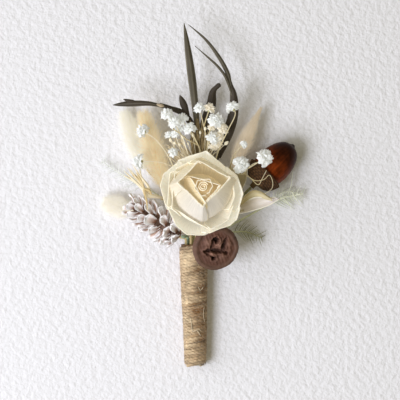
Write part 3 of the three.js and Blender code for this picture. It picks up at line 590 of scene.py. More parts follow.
def gumnut():
    place = Place(GUMNUT_BASE, GUMNUT_FACE)
    build = Build()
    face_radius, face_height = GUMNUT_OUTSIDE[-1]
    line = curve([[r, h, 0] for r, h in GUMNUT_OUTSIDE], 36)[:, :2]
    columns = 220
    angles = ring_angles(columns)
    ribs = 1 + 0.01 * sin(3 * angles + 1) + 0.007 * sin(8 * angles) + 0.004 * sin(29 * angles + 2)
    wall = lathe_grid(line, columns)
    wall[..., [0, 2]] *= ribs[:, None]
    # The face: a broad smooth rim, and woody valves that stand up beside deep slits
    share = linspace(1, 0.0, 90)[1:-1][:, None]
    x, z = face_radius * share * ribs * cos(angles), -face_radius * share * ribs * sin(angles)
    rim = 0.14 * exp(-((share - 0.94) / 0.05) ** 2)
    sink = -0.14 * exp(-((share - 0.8 - 0.06 * sin(3 * angles + 1)) / 0.08) ** 2)
    valves = 0.6 * smoothstep(0.86 - share, 0.0, 0.5)
    inside = smoothstep(0.88 - share, 0, 0.12)
    rough = sin(2.3 * x + 1.1 * z + 1) * sin(1.9 * z - 0.7 * x) + 0.6 * sin(4.1 * x - 2.7 * z)
    rough *= 0.1 * inside
    depth, lips = np.zeros(x.shape), np.zeros(x.shape)
    for x0, y0, x1, y1, half, deep in GUMNUT_SLITS:
        dx, dz = x1 - x0, y0 - y1
        part = clip(((x - x0) * dx + (z + y0) * dz) / (dx * dx + dz * dz), 0, 1)
        miss = np.hypot(x - x0 - part * dx, z + y0 - part * dz)
        uneven = 0.3 * sin(2.1 * x + 3 * y0) * sin(1.7 * z + x0)
        beside = miss + uneven - half * (0.7 + 0.6 * sin(pi * part))
        depth = maximum(depth, deep * (1 - smoothstep(beside, -0.2, 0.6)))
        lips = maximum(lips, deep * exp(-((beside - 0.85) / 0.45) ** 2))
    bosses = sum(rise * exp(-((x - bx) ** 2 + (z + by) ** 2) / wide ** 2)
                 for bx, by, wide, rise in GUMNUT_BOSSES)
    crest = (0.45 * lips + bosses) * (1 - depth) * inside
    face = stack([x, face_height + rim + sink + valves + rough + crest - 2.3 * depth, z], -1)
    skin = srgb(104, 76, 62)
    colours = ease(np.broadcast_to(smoothstep(0.93 - share, 0, 0.16), x.shape), skin, srgb(97, 64, 51))
    # The crests and bosses are painted lighter: paler wood, and a painted highlight where they stand up
    colours = ease(crest * 0.85 + rough, colours, srgb(146, 108, 92))
    # The slits are painted dark with their depth: painted shade
    colours = ease(depth, colours, srgb(56, 34, 26))
    turned(build, place, concatenate([wall, face]), concatenate([np.broadcast_to(skin, wall.shape), colours]))
    build.piece("gumnut_capsule", "eucalyptus_pod", "seed_pod", POD)
    foot = place.start - place.axis * 0.35
    stalk("gumnut_stalk", "pod_stem", "dry_stem", STEM, [[4.4, 3.1, 8.5], foot - place.axis * 0.9, foot],
          srgb(120, 98, 62))


# The acorn

ACORN_BASE, ACORN_TIP, ACORN_RADIUS = [26.1, 26.3, 9.15], [41.7, 41.7, 6.15], 7.5
ACORN_POINT = [[2.5, 20.2], [1.6, 20.6], [1.0, 21.0], [0.6, 21.4], [0.2, 21.55]]
CUP_STALK = [[0.9, -4], [1.15, -3.9], [1.1, -2.6], [1.35, -2.0], [2.4, -1.55]]
CUP_FOOT, CUP_RIM, CUP_WALL, CUP_ROWS, CUP_COLUMNS = -1.2, 4.35, 1.15, 7.0, 22


def acorn_radius(s):
    return ACORN_RADIUS * sqrt(maximum(0, 1 - ((maximum(s, 0) - 9) / 12.2) ** 2))


def acorn():
    place = Place(ACORN_BASE, ACORN_TIP)
    build = Build()
    s = concatenate([[0.0], linspace(0.4, 19.6, 46)])
    line = concatenate([stack([acorn_radius(s), s], -1), ACORN_POINT])
    # The shell is painted darker towards its tip and point: painted shade
    tone = ease(smoothstep(line[:, 1], 5, 18), srgb(126, 52, 14), srgb(56, 25, 13))
    tone = ease(smoothstep(line[:, 1], 19.6, 21.4), tone, srgb(36, 20, 12))
    turned(build, place, lathe_grid(line, 72), tone[:, None])
    build.piece("acorn_shell", "acorn_nut", "acorn_shell", SHELL)

    cup = Build()
    columns = 132
    angles, wall_s = ring_angles(columns), linspace(CUP_FOOT, CUP_RIM, 60)[:, None]
    outer = (acorn_radius(wall_s) + CUP_WALL) * sqrt(np.minimum(1, (wall_s + 2.4) / 2.4))
    band = (wall_s - CUP_FOOT) / (CUP_RIM - CUP_FOOT) * CUP_ROWS
    row = np.floor(band)
    across = (angles / (2 * pi) * CUP_COLUMNS + 0.5 * (row % 2)) % 1 - 0.5
    scale = (1 - (band - row)) ** 0.8 * (1 - (2 * across) ** 2 * 0.8)
    body = about(outer + 0.36 * scale, wall_s, angles)
    stalk_grid = lathe_grid(CUP_STALK, columns)
    inner_s = array([4.4, 3, 1.2, 0.2, -0.35])
    inner = lathe_grid(stack([acorn_radius(inner_s) + 0.35, inner_s], -1), columns)
    dark = srgb(42, 25, 13)
    # The cup is painted dark brown, darkest where the scales sink under the next row and inside: its own
    # brown together with painted shade
    colours = concatenate([np.broadcast_to(srgb(104, 84, 54), stalk_grid.shape),
                           ease(scale, dark, srgb(108, 76, 46)), np.broadcast_to(dark, inner.shape)])
    turned(cup, place, concatenate([stalk_grid, body, inner]), colours)
    cup.piece("acorn_cup", "acorn_cap", "acorn_cup", CUP)
    end = place.start - place.axis * 4.35
    stalk("acorn_taped_wire", "acorn_wire", "floral_tape", TAPE,
          [[7.4, 5, 6.1], [13, 13, 6.3], end - place.axis * 2.5, end], srgb(134, 132, 88))


# The cone

CONE_BASE, CONE_TIP, CONE_RADIUS, CONE_TIP_RADIUS, SCALES = [-6.4, 3.2, 12.6], [-30, 17.6, 15], 7.7, 3.4, 43
FOOT_SCALES = [(0.6, 104), (2.6, 80), (1.2, 165), (3.6, 128)]


def cone():
    rng = random.Random(8)
    place = Place(CONE_BASE, CONE_TIP)
    length = norm(np.subtract(CONE_TIP, CONE_BASE))
    build = Build()
    core = [[0.6, 0], [0.9, 0.3], [1.3, 2.4], [2, 5],
            [2.1, length * 0.6], [0.9, length * 0.9], [0.3, length * 0.93]]
    # The core is painted dark: painted shade deep inside the cone
    turned(build, place, lathe_grid(core, 16), srgb(120, 96, 82))
    wash, brown, deep = srgb(255, 252, 252), srgb(218, 172, 140), srgb(142, 98, 72)
    # Each scale's height, its share of the way to the tip, and its angle
    shares = [(k + 0.5) / SCALES for k in range(SCALES)]
    places = [(mix(0.7, length * 0.86, t ** 0.9), t, k * GOLDEN_ANGLE) for k, t in enumerate(shares)]
    places += [(height, height / length, radians(turn)) for height, turn in FOOT_SCALES]
    for k, (height, t, turn) in enumerate(places):
        opening = radians(mix(72, 34, t ** 1.5) + rng.uniform(-7, 7))
        reach = mix(CONE_RADIUS, CONE_TIP_RADIUS, t ** 2.2) * (0.86 if t < 0.06 else rng.uniform(0.93, 1.02))
        out, side = spoke(turn + rng.uniform(-0.12, 0.12))
        rise = cos(opening) * reach
        line = curve([out * r + AHEAD * (height + h) for r, h in (
            (0.8, -0.3), (reach * 0.5, rise * 0.22), (reach * 0.84, rise * 0.74), (reach, rise * 1.3))], 17)
        half = mix(5, 2.7, t ** 1.5) / 2 * rng.uniform(0.8, 1.15)
        u, v = sheet(11, 18)
        width = half * np.interp(v, [0, 0.35, 0.7, 0.88, 0.96, 1], [0.35, 0.62, 0.95, 1, 0.75, 0.2])
        up = cross(side, directions(line))
        cupped = 0.5 * half * u ** 2 * smoothstep(v, 0.1, 0.7) + 0.08 * sin(u * 7 + rng.uniform(0, 6)) * v
        grid = line[:, None] + side * (u * width)[..., None] + up[:, None] * cupped[..., None]
        rim = maximum(smoothstep(np.abs(u), 0.5, 0.95), smoothstep(v, 0.72, 0.92))
        rim *= 0.95 * smoothstep(v, 0.1, 0.35)
        patch = rng.uniform(0.45, 1)
        # Each scale is darker brown towards its root, deep in the cone: partly its own colour and partly
        # painted shade
        body = ease(v ** 1.2, deep, brown)
        sheet_solid(build, place(grid), mix(0.7, 0.45, v) * mix(1, 0.6, u ** 2),
                    ease(rim + smoothstep(v, 0.25, 0.75) * patch, body, wash),
                    ease(rim + 0.25 * patch * v, body, wash), stack([u * half, v * reach + 9 * k], -1))
    build.piece("cone_scales", "pine_cone", "cone_scale", CONE)
    seat = place.start - place.axis * 0.35
    stalk("cone_taped_wire", "cone_wire", "floral_tape", TAPE, [[-4.2, 3, 9.6], seat - place.axis, seat],
          srgb(176, 200, 168), radius=0.62)


# Bunny tails

HAIRS = 7500
# One row for each: the tip of its head, its radius, how pointed it is, the colours of its core and
# tips, its seed and the points that its stem passes
TAILS = {
    "bunny_tail_tall": (
        [-22.8, 57, 10], 5.9, 0.1, (240, 216, 160), (250, 238, 208), 31,
        [[-3.2, 5, 5.2], [-4.2, 11, 5.4], [-9.2, 18, 7.6], [-13.4, 22.5, 9.3]]),
    "bunny_tail_pale": (
        [-31, 56.6, 4], 5.3, 0.2, (250, 242, 220), (252, 249, 238), 32,
        [[-2.3, 6, 4.1], [-5, 12, 3.5], [-12, 21, 3.3], [-20.8, 31, 3.5]]),
    "bunny_tail_low": (
        [-40, 17.4, 4.4], 4.7, 0.1, (250, 242, 222), (252, 248, 238), 33,
        [[-6.6, 2.4, 2.7], [-13, 5.8, 1.5], [-19, 9.6, 2.1], [-24.4, 12.6, 3.8]]),
    "bunny_tail_right": (
        [27.7, 57.5, 7.2], 3.8, 0.75, (226, 208, 178), (242, 230, 208), 34,
        [[4.4, 7, 6.3], [8, 16, 6.3], [11.8, 25, 6.4], [15, 31.5, 6.6]]),
}


def bunny_tail(name, head, radius, pointed, core, tip, seed, through):
    rng = random.Random(seed)
    build = Build()
    core, tip = srgb(*core), srgb(*tip)
    stem(build, name, through, srgb(200, 180, 132), tip_radius=0.45)
    place = Place(through[-1], head)
    length = norm(head - place.start)

    def girth(t):
        round_head = sin(pi * clip(0.04 + 0.85 * t, 0, 1) ** 0.8) ** 0.62
        return radius * round_head * (1 - pointed * smoothstep(t, 0.35, 1))

    t = linspace(0.01, 0.985, 22)
    grid = lathe_grid(stack([girth(t) * 0.24, length * (0.02 + 0.84 * t)], -1), 28)
    turned(build, place, grid, ease(t, core * 0.9, core)[:, None])
    for _ in range(HAIRS):
        t = rng.random() ** 0.9
        angle = rng.uniform(0, 2 * pi)
        root, wide = girth(t) * 0.23, max(girth(t), 1.6 - 1.4 * pointed)
        low = length * 0.9 * t + 0.2
        high = min(low + rng.uniform(1.6, 5.2), length + rng.uniform(-3.4, 0.3))
        spread = wide * rng.triangular(0.3, 1.4, 0.7)
        turn = angle + rng.uniform(-0.35, 0.35)
        radii = array([root, mix(root, spread, rng.uniform(0.5, 0.75)), spread])
        angles = array([angle, mix(angle, turn, 0.5), turn])
        line = place(about(radii, [low, mix(low, high, 0.45), high], angles))
        keep_above(line, 0.05)
        hair(build, line, rng.uniform(0.03, 0.055), ease(rng.random() ** 0.7, core * 0.86, tip))
    build.piece(name + "_hairs", name, "bunny_tail", TAIL)


# Leaves


def blade(build, points, width, colour, edge, full=0.35, tip=0.5, rise=0.2, thick=0.4, twist=0.0, steps=40):
    """A long leaf with a raised middle, full width soon after its root, then narrowing to its tip."""
    t = linspace(0, 1, steps + 1)
    grow = np.minimum(1, 0.45 + 0.55 * t / full)
    fade = np.where(t < full, 1, cos(pi / 2 * clip((t - full) / (1 - full), 0, 1)) ** 0.7)
    half = maximum(width / 2 * grow * fade, tip / 2)
    half[-1] *= 0.35
    thickness = thick * (0.5 + 0.5 * half / half.max())
    half, thickness, turn = half[:, None], thickness[:, None], radians(twist) * t[:, None]
    across = linspace(-1, 1, 7)
    middle, body = rise * half * (1 - across ** 2), thickness / 2 * (1 - 0.75 * across ** 2)
    x = half * concatenate([across, across[::-1]])
    y = concatenate([middle - body, (middle + body)[:, ::-1]], axis=1)
    sections = stack([x * cos(turn) - y * sin(turn), x * sin(turn) + y * cos(turn)], -1)
    across = np.tile(np.abs(across), 2)
    light = smoothstep(across, 0.72, 1.0) * 0.8 + exp(-(across / 0.16) ** 2) * 0.35
    loft(build, curve(points, steps), sections, ease(light, colour, edge))


OLIVE, PALE, BROWN, TAN = srgb(80, 72, 56), srgb(142, 136, 116), srgb(62, 52, 40), srgb(190, 170, 140)
# For each: the points that its stem passes, and its lobes, with width, colours and exceptions
DARK_LEAVES = {
    "dark_leaf_left": ([[-0.9, 8, 3.4], [-0.8, 18, 3], [0.4, 30, 4], [1.5, 39, 6.6], [1.6, 44, 8.6]], [
        ([[1.5, 40, 7], [0.2, 52, 10], [-1.6, 68, 13.5], [-3.4, 81, 16], [-5, 92, 17.6]],
         3.5, OLIVE, PALE, dict(full=0.5, rise=0.35, twist=14)),
        ([[1.5, 41, 7.4], [-1, 48.5, 9.4], [-5.6, 54.4, 12.2], [-11, 56.6, 14], [-15.6, 57.9, 15]],
         2.8, BROWN, OLIVE, dict(tip=2, rise=0.3)),
        ([[-13.4, 57.2, 14.6], [-20, 58.4, 15.4], [-28, 58.3, 15.2], [-34.9, 57.8, 14.4]],
         2.6, BROWN, PALE, dict(full=0.55, rise=0.3, tip=0.3)),
        ([[-24, 58.6, 15.4], [-27.6, 59.3, 15.6], [-30.4, 60.2, 15.6]],
         1.9, BROWN, OLIVE, dict(steps=16)),
        ([[-3, 52, 11], [-4.6, 56.6, 12.4], [-6.8, 62, 13.6]],
         3.0, BROWN, OLIVE, dict(tip=0.9, full=0.6, steps=20, rise=0.3)),
        ([[0.2, 29, 4], [2.2, 40, 3.8], [3.9, 49.6, 4.4], [6.5, 59, 5.4], [7.3, 64, 6.2], [10.2, 67, 7]],
         4.7, BROWN, OLIVE, dict(full=0.3, tip=2.0, rise=0.25)),
        ([[0.8, 31, 4.8], [0.5, 38, 5.4], [-0.5, 44, 6], [-1.1, 50.5, 6.6]],
         4.6, BROWN, OLIVE, dict(tip=0.8, rise=0.25)),
        ([[-16.4, 58.1, 15.6], [-14.8, 57.6, 15.9], [-13.2, 57.3, 15.7]],
         1.6, TAN, PALE, dict(full=0.5, tip=0.6, rise=0.5, steps=12))]),
    "dark_leaf_right": ([[0.9, 8, 2.1], [2.6, 18, 2.2], [5.6, 27, 3.8], [8.4, 33.6, 6.2], [10.2, 38, 8]], [
        ([[9.4, 36, 7.2], [12.8, 44.5, 10.4], [15.6, 54, 12.6], [15.7, 62, 13.6], [13.8, 68.5, 14]],
         4.6, BROWN, OLIVE, dict(full=0.3, tip=1.7, rise=0.3)),
        ([[14.9, 64.8, 13.8], [13, 71.6, 14.2], [9.3, 78.3, 14.4], [4.2, 85, 14.2], [-3.2, 91.6, 13.6]],
         1.9, OLIVE, PALE, dict(full=0.2, tip=0.4, rise=0.5)),
        ([[15.6, 60, 13.4], [12.4, 69.4, 15], [9, 74, 15.8], [4.4, 78.2, 16], [-0.6, 82.6, 15.8]],
         1.2, OLIVE, PALE, dict(full=0.2, tip=0.35, rise=0.5))]),
}


def dark_leaves():
    for name, (through, blades) in DARK_LEAVES.items():
        build = Build()
        stem(build, name, through, srgb(104, 92, 66), OLIVE, tip_radius=0.5)
        for points, width, colour, edge, more in blades:
            blade(build, points, width, colour, edge, **more)
        build.piece(name + "_lobes", name, "dark_leaf", DARK)


def cupped_leaf(build, surface, columns, rows, inside, outside, rim, lean=0.0):
    u, v = sheet(columns, rows, low=0)
    across = np.abs(2 * v - 1)
    edge = smoothstep(across, 0.9, 1.0)
    vein = exp(-(across / 0.05) ** 2) * 0.12
    face = ease(u * (1 - lean) + lean * (1 - smoothstep(v, 0.5, 0.8)), inside, outside)
    sheet_solid(build, surface(u, v), 0.34, ease(edge + vein, face, rim), ease(edge, outside, rim),
                stack([v * 8, u * 20], -1))


def knotted(u, shares, values):
    """A smooth value along a leaf, from its values at a few shares of the way."""
    fine = linspace(0, 1, 41)
    padded = np.pad(np.interp(fine, shares, values), 3, mode="edge")
    return np.interp(u, fine, np.convolve(padded, np.ones(7) / 7, mode="valid"))


def right_surface(u, v):
    across = 2 * v - 1
    half = knotted(u, [0, 0.16, 0.5, 0.79, 0.93, 1], [1.3, 1.9, 2.6, 1.5, 0.65, 0.2])
    middle = knotted(u, [0, 0.16, 0.5, 0.79, 1], [13.6, 14.6, 16.9, 17.6, 19])
    curl, ripple = 2.2 * sin(pi * (0.15 + 0.7 * u)), 0.12 * sin(9 * u + 3 * v)
    return stack([mix(17, 34.2, u) - 0.8 * across, middle + half * across,
                  14.2 + 1.8 * u + (curl + ripple) * across ** 2], -1)


def fold_surface(u, v):
    low = knotted(u, [0, 0.3, 0.55, 0.8, 1], [15.4, 18.9, 19.4, 18.3, 17.7])
    high = knotted(u, [0, 0.1, 0.3, 0.5, 0.75, 1], [17.4, 18.7, 21.4, 22.4, 21.2, 18.6])
    return stack([mix(18.6, 32, u) - 0.6 * v, mix(low, high, v),
                  16.3 + 0.5 * u + 1.3 * sin(pi * (0.1 + 0.8 * v)) + 0.2 * sin(8 * u + 2 * v)], -1)


def back_surface(u, v):
    across = 2 * v - 1
    half = 2.7 * sin(pi * (0.12 + 0.86 * u)) ** 0.7 + 0.1
    return stack([17.3 + 2.8 * u + half * across, 22.8 + 12.6 * u - 1.2 * across,
                  8.4 + 3.4 * u + 1.2 * across ** 2], -1)


def cream_leaves():
    rim, tan = srgb(255, 248, 230), srgb(206, 192, 152)
    right, back = Build(), Build()
    stem(right, "cream_leaf_right", [[6.2, 7.6, 10.7], [12, 10.6, 11.8], [17, 12.6, 14], [20, 13.6, 15]], tan)
    cupped_leaf(right, right_surface, 44, 21, srgb(220, 206, 180), srgb(246, 240, 238), rim, lean=0.2)
    cupped_leaf(right, fold_surface, 36, 13, srgb(196, 176, 122), srgb(222, 210, 172), rim, lean=0.2)
    right.piece("cream_leaf_right_blade", "cream_leaf_right", "cream_leaf", CREAM)
    stem(back, "cream_leaf_back", [[4, 8, 4.2], [9, 15.4, 3.9], [15, 21, 5.4], [17.6, 23.6, 8.6]], tan)
    # The back leaf, a cream leaf, is painted dark olive-brown: painted shade, as it lies under the others
    cupped_leaf(back, back_surface, 34, 17, srgb(136, 116, 78), srgb(184, 168, 130), rim)
    back.piece("cream_leaf_back_blade", "cream_leaf_back", "cream_leaf", CREAM)


def straw_leaf():
    build = Build()
    rng = random.Random(71)
    pale, yellow, ochre = srgb(246, 231, 198), srgb(228, 204, 152), srgb(206, 170, 104)
    stem(build, "straw_leaf_left", [[-2.6, 6, 9.8], [-5, 12, 9.8], [-10.6, 17.4, 10.6], [-14.6, 18.6, 12.9]],
         srgb(206, 184, 128))
    trunk = [[-13.6, 18.8, 12.3], [-17.2, 19.6, 17.2], [-20.4, 20.2, 18.8], [-21.6, 22.2, 17.2]]
    blades = []
    for _ in range(9):
        x, y, z = rng.uniform(-30.5, -22.6), rng.uniform(26.6, 32.4), rng.uniform(13.4, 16)
        middle = [mix(-22.4, x, 0.45) + rng.uniform(-0.8, 0.8), mix(24.6, y, 0.4), 15.8]
        width = rng.uniform(0.7, 1.3)
        blades.append(([*trunk[1:], middle, [x, y, z]], width, pale if rng.random() < 0.6 else yellow))
    for ends, width, colour in (
            ([[-24, 26.4, 15.4], [-28.8, 31.6, 13.8]], 2.1, pale),
            ([[-23.2, 27.4, 16], [-26.6, 33, 15]], 1.6, pale),
            ([[-23.6, 25.4, 15.8], [-27.4, 29.6, 14.6]], 1.6, yellow),
            ([[-22.4, 25, 16.8], [-25.2, 29.8, 16.4]], 1.4, yellow),
            ([[-24.8, 25.2, 15.6], [-30.4, 28.6, 14.2]], 1.9, pale),
            ([[-22.4, 26.6, 16.6], [-24.2, 32, 16.4]], 1.2, pale)):
        blades.append((trunk + ends, width, colour))
    for points, width, colour in blades:
        blade(build, points, width, colour, pale, rise=0.5, thick=0.3, tip=0.2)
    blade(build, [[-19.6, 19.7, 18.2], [-19.8, 23.2, 18.6], [-24.2, 29.4, 17.8]],
          1.3, pale, yellow, rise=0.5, tip=0.2, steps=24)
    blade(build, [[-18.6, 19.9, 18.3], [-19.2, 21.6, 19.2], [-21.4, 22.4, 19.6], [-20.6, 17.6, 20.6],
                  [-20, 13.4, 20.4]], 1.2, yellow, ochre, rise=0.5, tip=0.2, steps=30)
    build.piece("straw_leaf_blades", "straw_leaf_left", "straw_leaf", STRAW)


# Baby's breath

# The whorls of a bloom: how many petals, how far they open in degrees, and their length
WHORLS = (7, 84, 0.60), (7, 58, 0.64), (6, 34, 0.66), (4, 14, 0.66)
# For fresh and turned blooms: the colour at the petals' roots, darker as painted shade in the bloom's middle,
# and the colour at their tips
FRESH, TURNED = (srgb(222, 221, 212), srgb(236, 237, 234)), (srgb(204, 192, 162), srgb(238, 230, 212))


def bloom(build, centre, size, axis, rng, fresh=True):
    """A double bloom: whorls of small ruffled petals on a cup."""
    place = Place(centre - unit(axis) * size * 0.36, centre)
    cup = [[0.3, -0.5], [0.5, -0.2],
           [size * 0.13, size * 0.05], [size * 0.15, size * 0.25], [size * 0.1, size * 0.3]]
    turned(build, place, lathe_grid(cup, 8), srgb(176, 172, 128))
    u, v = sheet(6, 5)
    colours = ease(smoothstep(v, 0.0, 0.6), *(FRESH if fresh else TURNED))
    width = size * 0.31 * np.interp(v, [0, 0.5, 0.85, 1], [0.3, 0.85, 1, 0.8])
    for whorl, (petals, open_angle, reach) in enumerate(WHORLS):
        for k in range(petals):
            out, side = spoke(2 * pi * (k + 0.5 * (whorl % 2)) / petals + rng.uniform(-0.25, 0.25))
            bend = radians(open_angle + rng.uniform(-12, 12)) * (0.45 + 0.75 * v)
            length = size * reach * rng.uniform(0.88, 1.1)
            ruffle = size * 0.075 * v * sin(u * 3.6 + rng.uniform(0, 6)) + size * 0.04 * u ** 2
            notch = 1 - 0.1 * v * np.abs(sin(u * 3 + rng.uniform(0, 6)))
            r, h = length * v * sin(bend), size * 0.1 + length * v * cos(bend) * 0.95
            grid = (out * (r * notch)[..., None] + AHEAD * (h * notch + ruffle)[..., None]
                    + side * (u * width)[..., None])
            sheet_solid(build, place(grid), 0.14, colours, colours, stack([u, v], -1))


# For each spray: the points that its stem passes, and its twigs with the size of the bloom on each
SPRAYS = {
    "babys_breath_left": ([[-1.1, 8, 7.6], [-3, 16, 7.7], [-6.4, 25, 8.7], [-9.8, 33, 11.2]], [
        ([[-9.4, 32, 10.9], [-10.6, 35.6, 13], [-9.4, 38.4, 14.8]], 3.6),
        ([[-9.4, 32, 10.9], [-14, 33.6, 15.2], [-19, 34.2, 17], [-24.4, 34.2, 16.6]], 5.2),
        ([[-9.4, 32, 10.9], [-12.6, 38, 16], [-17, 43.4, 18.2], [-22.8, 47.3, 17.6]], 5)]),
    "babys_breath_middle": ([[0.2, 8, 6.2], [0.6, 18, 6], [1.8, 28, 7], [3.6, 37, 10]], [
        ([[3.2, 35, 9.4], [0.5, 42, 13.4], [-3, 48.5, 16]], 5),
        ([[0.9, 41, 12.8], [-2.6, 46.6, 13], [-6.1, 52.4, 15]], 4.6),
        ([[0.9, 41, 12.8], [-5.6, 44.8, 15.2], [-9.4, 51, 18.6]], 4.8),
        ([[-6.2, 45.6, 15.6], [-10.4, 48.6, 17], [-12.4, 54.4, 18.6]], 4.8),
        ([[3.2, 35, 9.4], [5, 41, 12.4], [7.6, 44.6, 14.6]], 5.4),
        ([[4.6, 40, 12], [8, 43, 13], [11.4, 48.2, 16]], 4.4),
        ([[4.6, 40, 12], [5.4, 46, 15], [8.6, 52, 17.4]], 5.8),
        ([[4.9, 42.4, 13.2], [3, 50, 14.4], [1.4, 57, 15.8]], 4.4),
        ([[3.3, 48.8, 14.2], [4.6, 53, 15], [5.8, 56.8, 15.4]], 4.4)]),
    "babys_breath_right": ([[2.8, 8, 7.7], [6.4, 16, 8.2], [10.2, 24, 9.8], [14.4, 31.8, 14]], [
        ([[6.4, 16, 8.2], [7, 27, 10.6], [9.2, 38, 14], [13.6, 47.6, 18.8], [16.4, 54.2, 19.6],
          [15, 57.2, 19.4]], 5.2),
        ([[14, 31, 13.5], [17, 32, 16.6], [19.2, 33.2, 19]], 6.2),
        ([[14, 31, 13.5], [16.4, 37.6, 14.6], [20.2, 41.6, 15]], 3),
        ([[14, 31, 13.5], [20, 30.6, 17], [25, 33.2, 20.4], [29.2, 36.1, 22]], 6.2),
        ([[14, 31, 13.5], [19.4, 28.8, 17.2], [21.4, 31, 19.4], [24, 33.2, 20.2], [26.6, 33.8, 20.4]], 0),
        ([[20.2, 29.2, 18], [24.6, 26.2, 18.8], [28.3, 26.6, 19.4], [30.6, 28.4, 19.2], [32, 25.4, 18.8],
          [31.6, 22.8, 18.2], [28.8, 20.7, 17.6]], 0),
        ([[22.6, 27.4, 18.4], [26, 24.4, 18.6], [27.6, 27, 19.4], [29.4, 30.4, 19.6]], 0)]),
}
# The blooms that have turned cream, by their places
CREAMY = [5.8, 56.8, 15.4], [11.4, 48.2, 16]
# Bare twigs between those of the middle spray: [y where it leaves the stem, tip, size of its bud]
BARE_TWIGS = [
    (26, [-5.4, 44, 13.6], 1.1), (27, [-1.2, 44.6, 12.4], 1.2), (30, [1.8, 46, 12.6], 0.9),
    (31, [6.6, 48.6, 14.4], 1.6), (33, [10, 45, 13.8], 2.2), (34, [9.4, 42, 12.8], 2.4),
    (29, [-8.6, 41.6, 12.6], 1.0), (32, [7.4, 40.6, 12.6], 2.0), (25, [-3.2, 41.4, 11.4], 0.8),
    (22, [-8.8, 46, 14], 2.0), (22, [-10.4, 42.6, 12], 1.2), (24, [-7.2, 48, 14.6], 1.9),
    (25, [-11.6, 45.6, 13.4], 1.8), (21, [-9.6, 39.4, 11], 1.0), (27, [-6.6, 40.8, 12], 1.2),
    (31, [5.2, 43.2, 13.6], 1.2), (32, [3.8, 47.4, 14.2], 1.1), (33, [12.2, 41.4, 12.6], 1.4)]
FINE_TWIGS = 96


def bare_twigs(build, rng):
    """The twigs with buds in the middle spray, and finer ones, olive in its middle and pale to its left."""
    def middle(root, tip, aside, rise):
        return mix(root, tip, 0.5) + [rng.uniform(-aside, aside), 0, rise]

    def between(*ranges):
        return array([rng.uniform(*ends) for ends in ranges])

    for y, tip, bud in BARE_TWIGS:
        root, tip = array([0.2 * (y - 19), y, np.interp(y, [23, 31, 34], [6.2, 7.8, 9])]), array(tip)
        line = curve([root, middle(root, tip, 0.8, 0.4), tip], 14)
        twig(build, line, 0.24, 0.15, srgb(184, 168, 126), srgb(236, 226, 202), 5)
        if bud > 1.5:
            bloom(build, tip, bud * 1.7, tip - root, rng, tip[0] < 0)
        else:
            ball = [[0.15, -0.1], [0.5 * bud, 0.4 * bud], [0.55 * bud, 0.9 * bud], [0.3 * bud, 1.4 * bud],
                    [0.08, 1.6 * bud]]
            turned(build, Place(tip - unit(tip - root) * 0.3, tip), lathe_grid(ball, 10), srgb(236, 228, 204))
    for _ in range(FINE_TWIGS):
        aside = rng.random() < 0.42
        root = array([rng.uniform(0.6, 3), rng.uniform(24, 33), 7.2])
        if aside:
            tip = between((-13, -4), (37, 48), (9, 13.5))
            tones = srgb(166, 148, 112), srgb(214, 200, 170)
        else:
            tip = between((-2.6, 6.6), (42, 53), (11, 14.5))
            tones = srgb(72, 60, 40), srgb(140, 122, 86)
            if rng.random() < 0.3:
                root, tip = root + [2, 0, 0.4], between((5, 10), (38, 47), (9, 11))
                tones = srgb(58, 48, 34), srgb(104, 88, 60)
        twig(build, curve([root, middle(root, tip, 0.9, 0.3), tip], 12), 0.26, 0.15, *tones, 4)


def babys_breath():
    for index, (name, (through, twigs)) in enumerate(SPRAYS.items()):
        rng = random.Random(50 + index)
        build = Build()
        straw, pale, slim = srgb(172, 156, 114), srgb(222, 210, 178), 0.85
        if name == "babys_breath_middle":
            bare_twigs(build, rng)
        if name == "babys_breath_left":
            straw, pale, slim = srgb(226, 214, 180), srgb(250, 244, 230), 0.5
        stem(build, name, through, srgb(150, 140, 92), straw, tip_radius=0.4)
        for route, size in twigs:
            width = slim if size else 0.5
            twig(build, curve(route, 8 * len(route)), 0.34 * width, 0.2 * width, straw, pale, 6)
            if size:
                bloom(build, array(route[-1]), size, np.subtract(route[-1], route[-2]), rng,
                      route[-1] not in CREAMY)
        build.piece(name + "_blooms", name, "babys_breath", BREATH)


# Ferns


class Sequence:
    """The same repeatable numbers from 0 to 1 that the solids' needles were set out by."""

    def __init__(self, seed):
        self.state = seed

    def __call__(self):
        self.state = (self.state * 1103515245 + 12345) % 2147483648
        return self.state / 2147483648


# For each frond: the points that its stem passes, the share where its needles start, their length,
# its seed and its pale and green colours
FERNS = {
    "fern_right": ([[9, 4.4, 3.2], [18, 9.2, 2.4], [28, 14.6, 1.7], [36, 18.6, 1.8], [45.4, 20.8, 2.8]],
                   0.7, 7, 21, (240, 240, 222), (186, 192, 166)),
    # The low frond, under the rose, is painted darker: painted shade
    "fern_low": ([[7, 2, 1.6], [14, 4.2, 1.2], [21, 4.6, 1.3], [28, 2, 1.8]],
                 0.55, 6, 22, (150, 148, 112), (92, 92, 60)),
    "fern_left": ([[-3.4, 6, 1.4], [-8, 12.6, 1.2], [-17, 20.6, 1.2], [-28, 26.6, 1.4], [-40, 34.4, 2.2]],
                  0.62, 6.5, 23, (226, 228, 222), (198, 204, 194)),
}
# Loose strands of the right frond that curl beyond the cream leaf
FERN_CURLS = [
    [[39, 21, 2.4], [40.3, 24.5, 3.4], [40.5, 27, 4], [41, 30.4, 4.6]],
    [[34.2, 17.5, 2.2], [36.5, 19.4, 3], [39.5, 19.4, 3.2], [42.2, 18.2, 2.6]],
    [[34.9, 20.2, 2.4], [37.3, 21.4, 3.2], [41, 21.4, 3.4], [44.9, 20.2, 3]],
    [[40.3, 21.7, 3], [42.2, 18.6, 2.6], [44.5, 15.2, 1.6]],
    [[37, 18.8, 2.6], [39, 16.6, 2.4], [40.6, 13.6, 1.4]],
]
MAIN_NEEDLES, LAST_NEEDLE = 13, 0.985


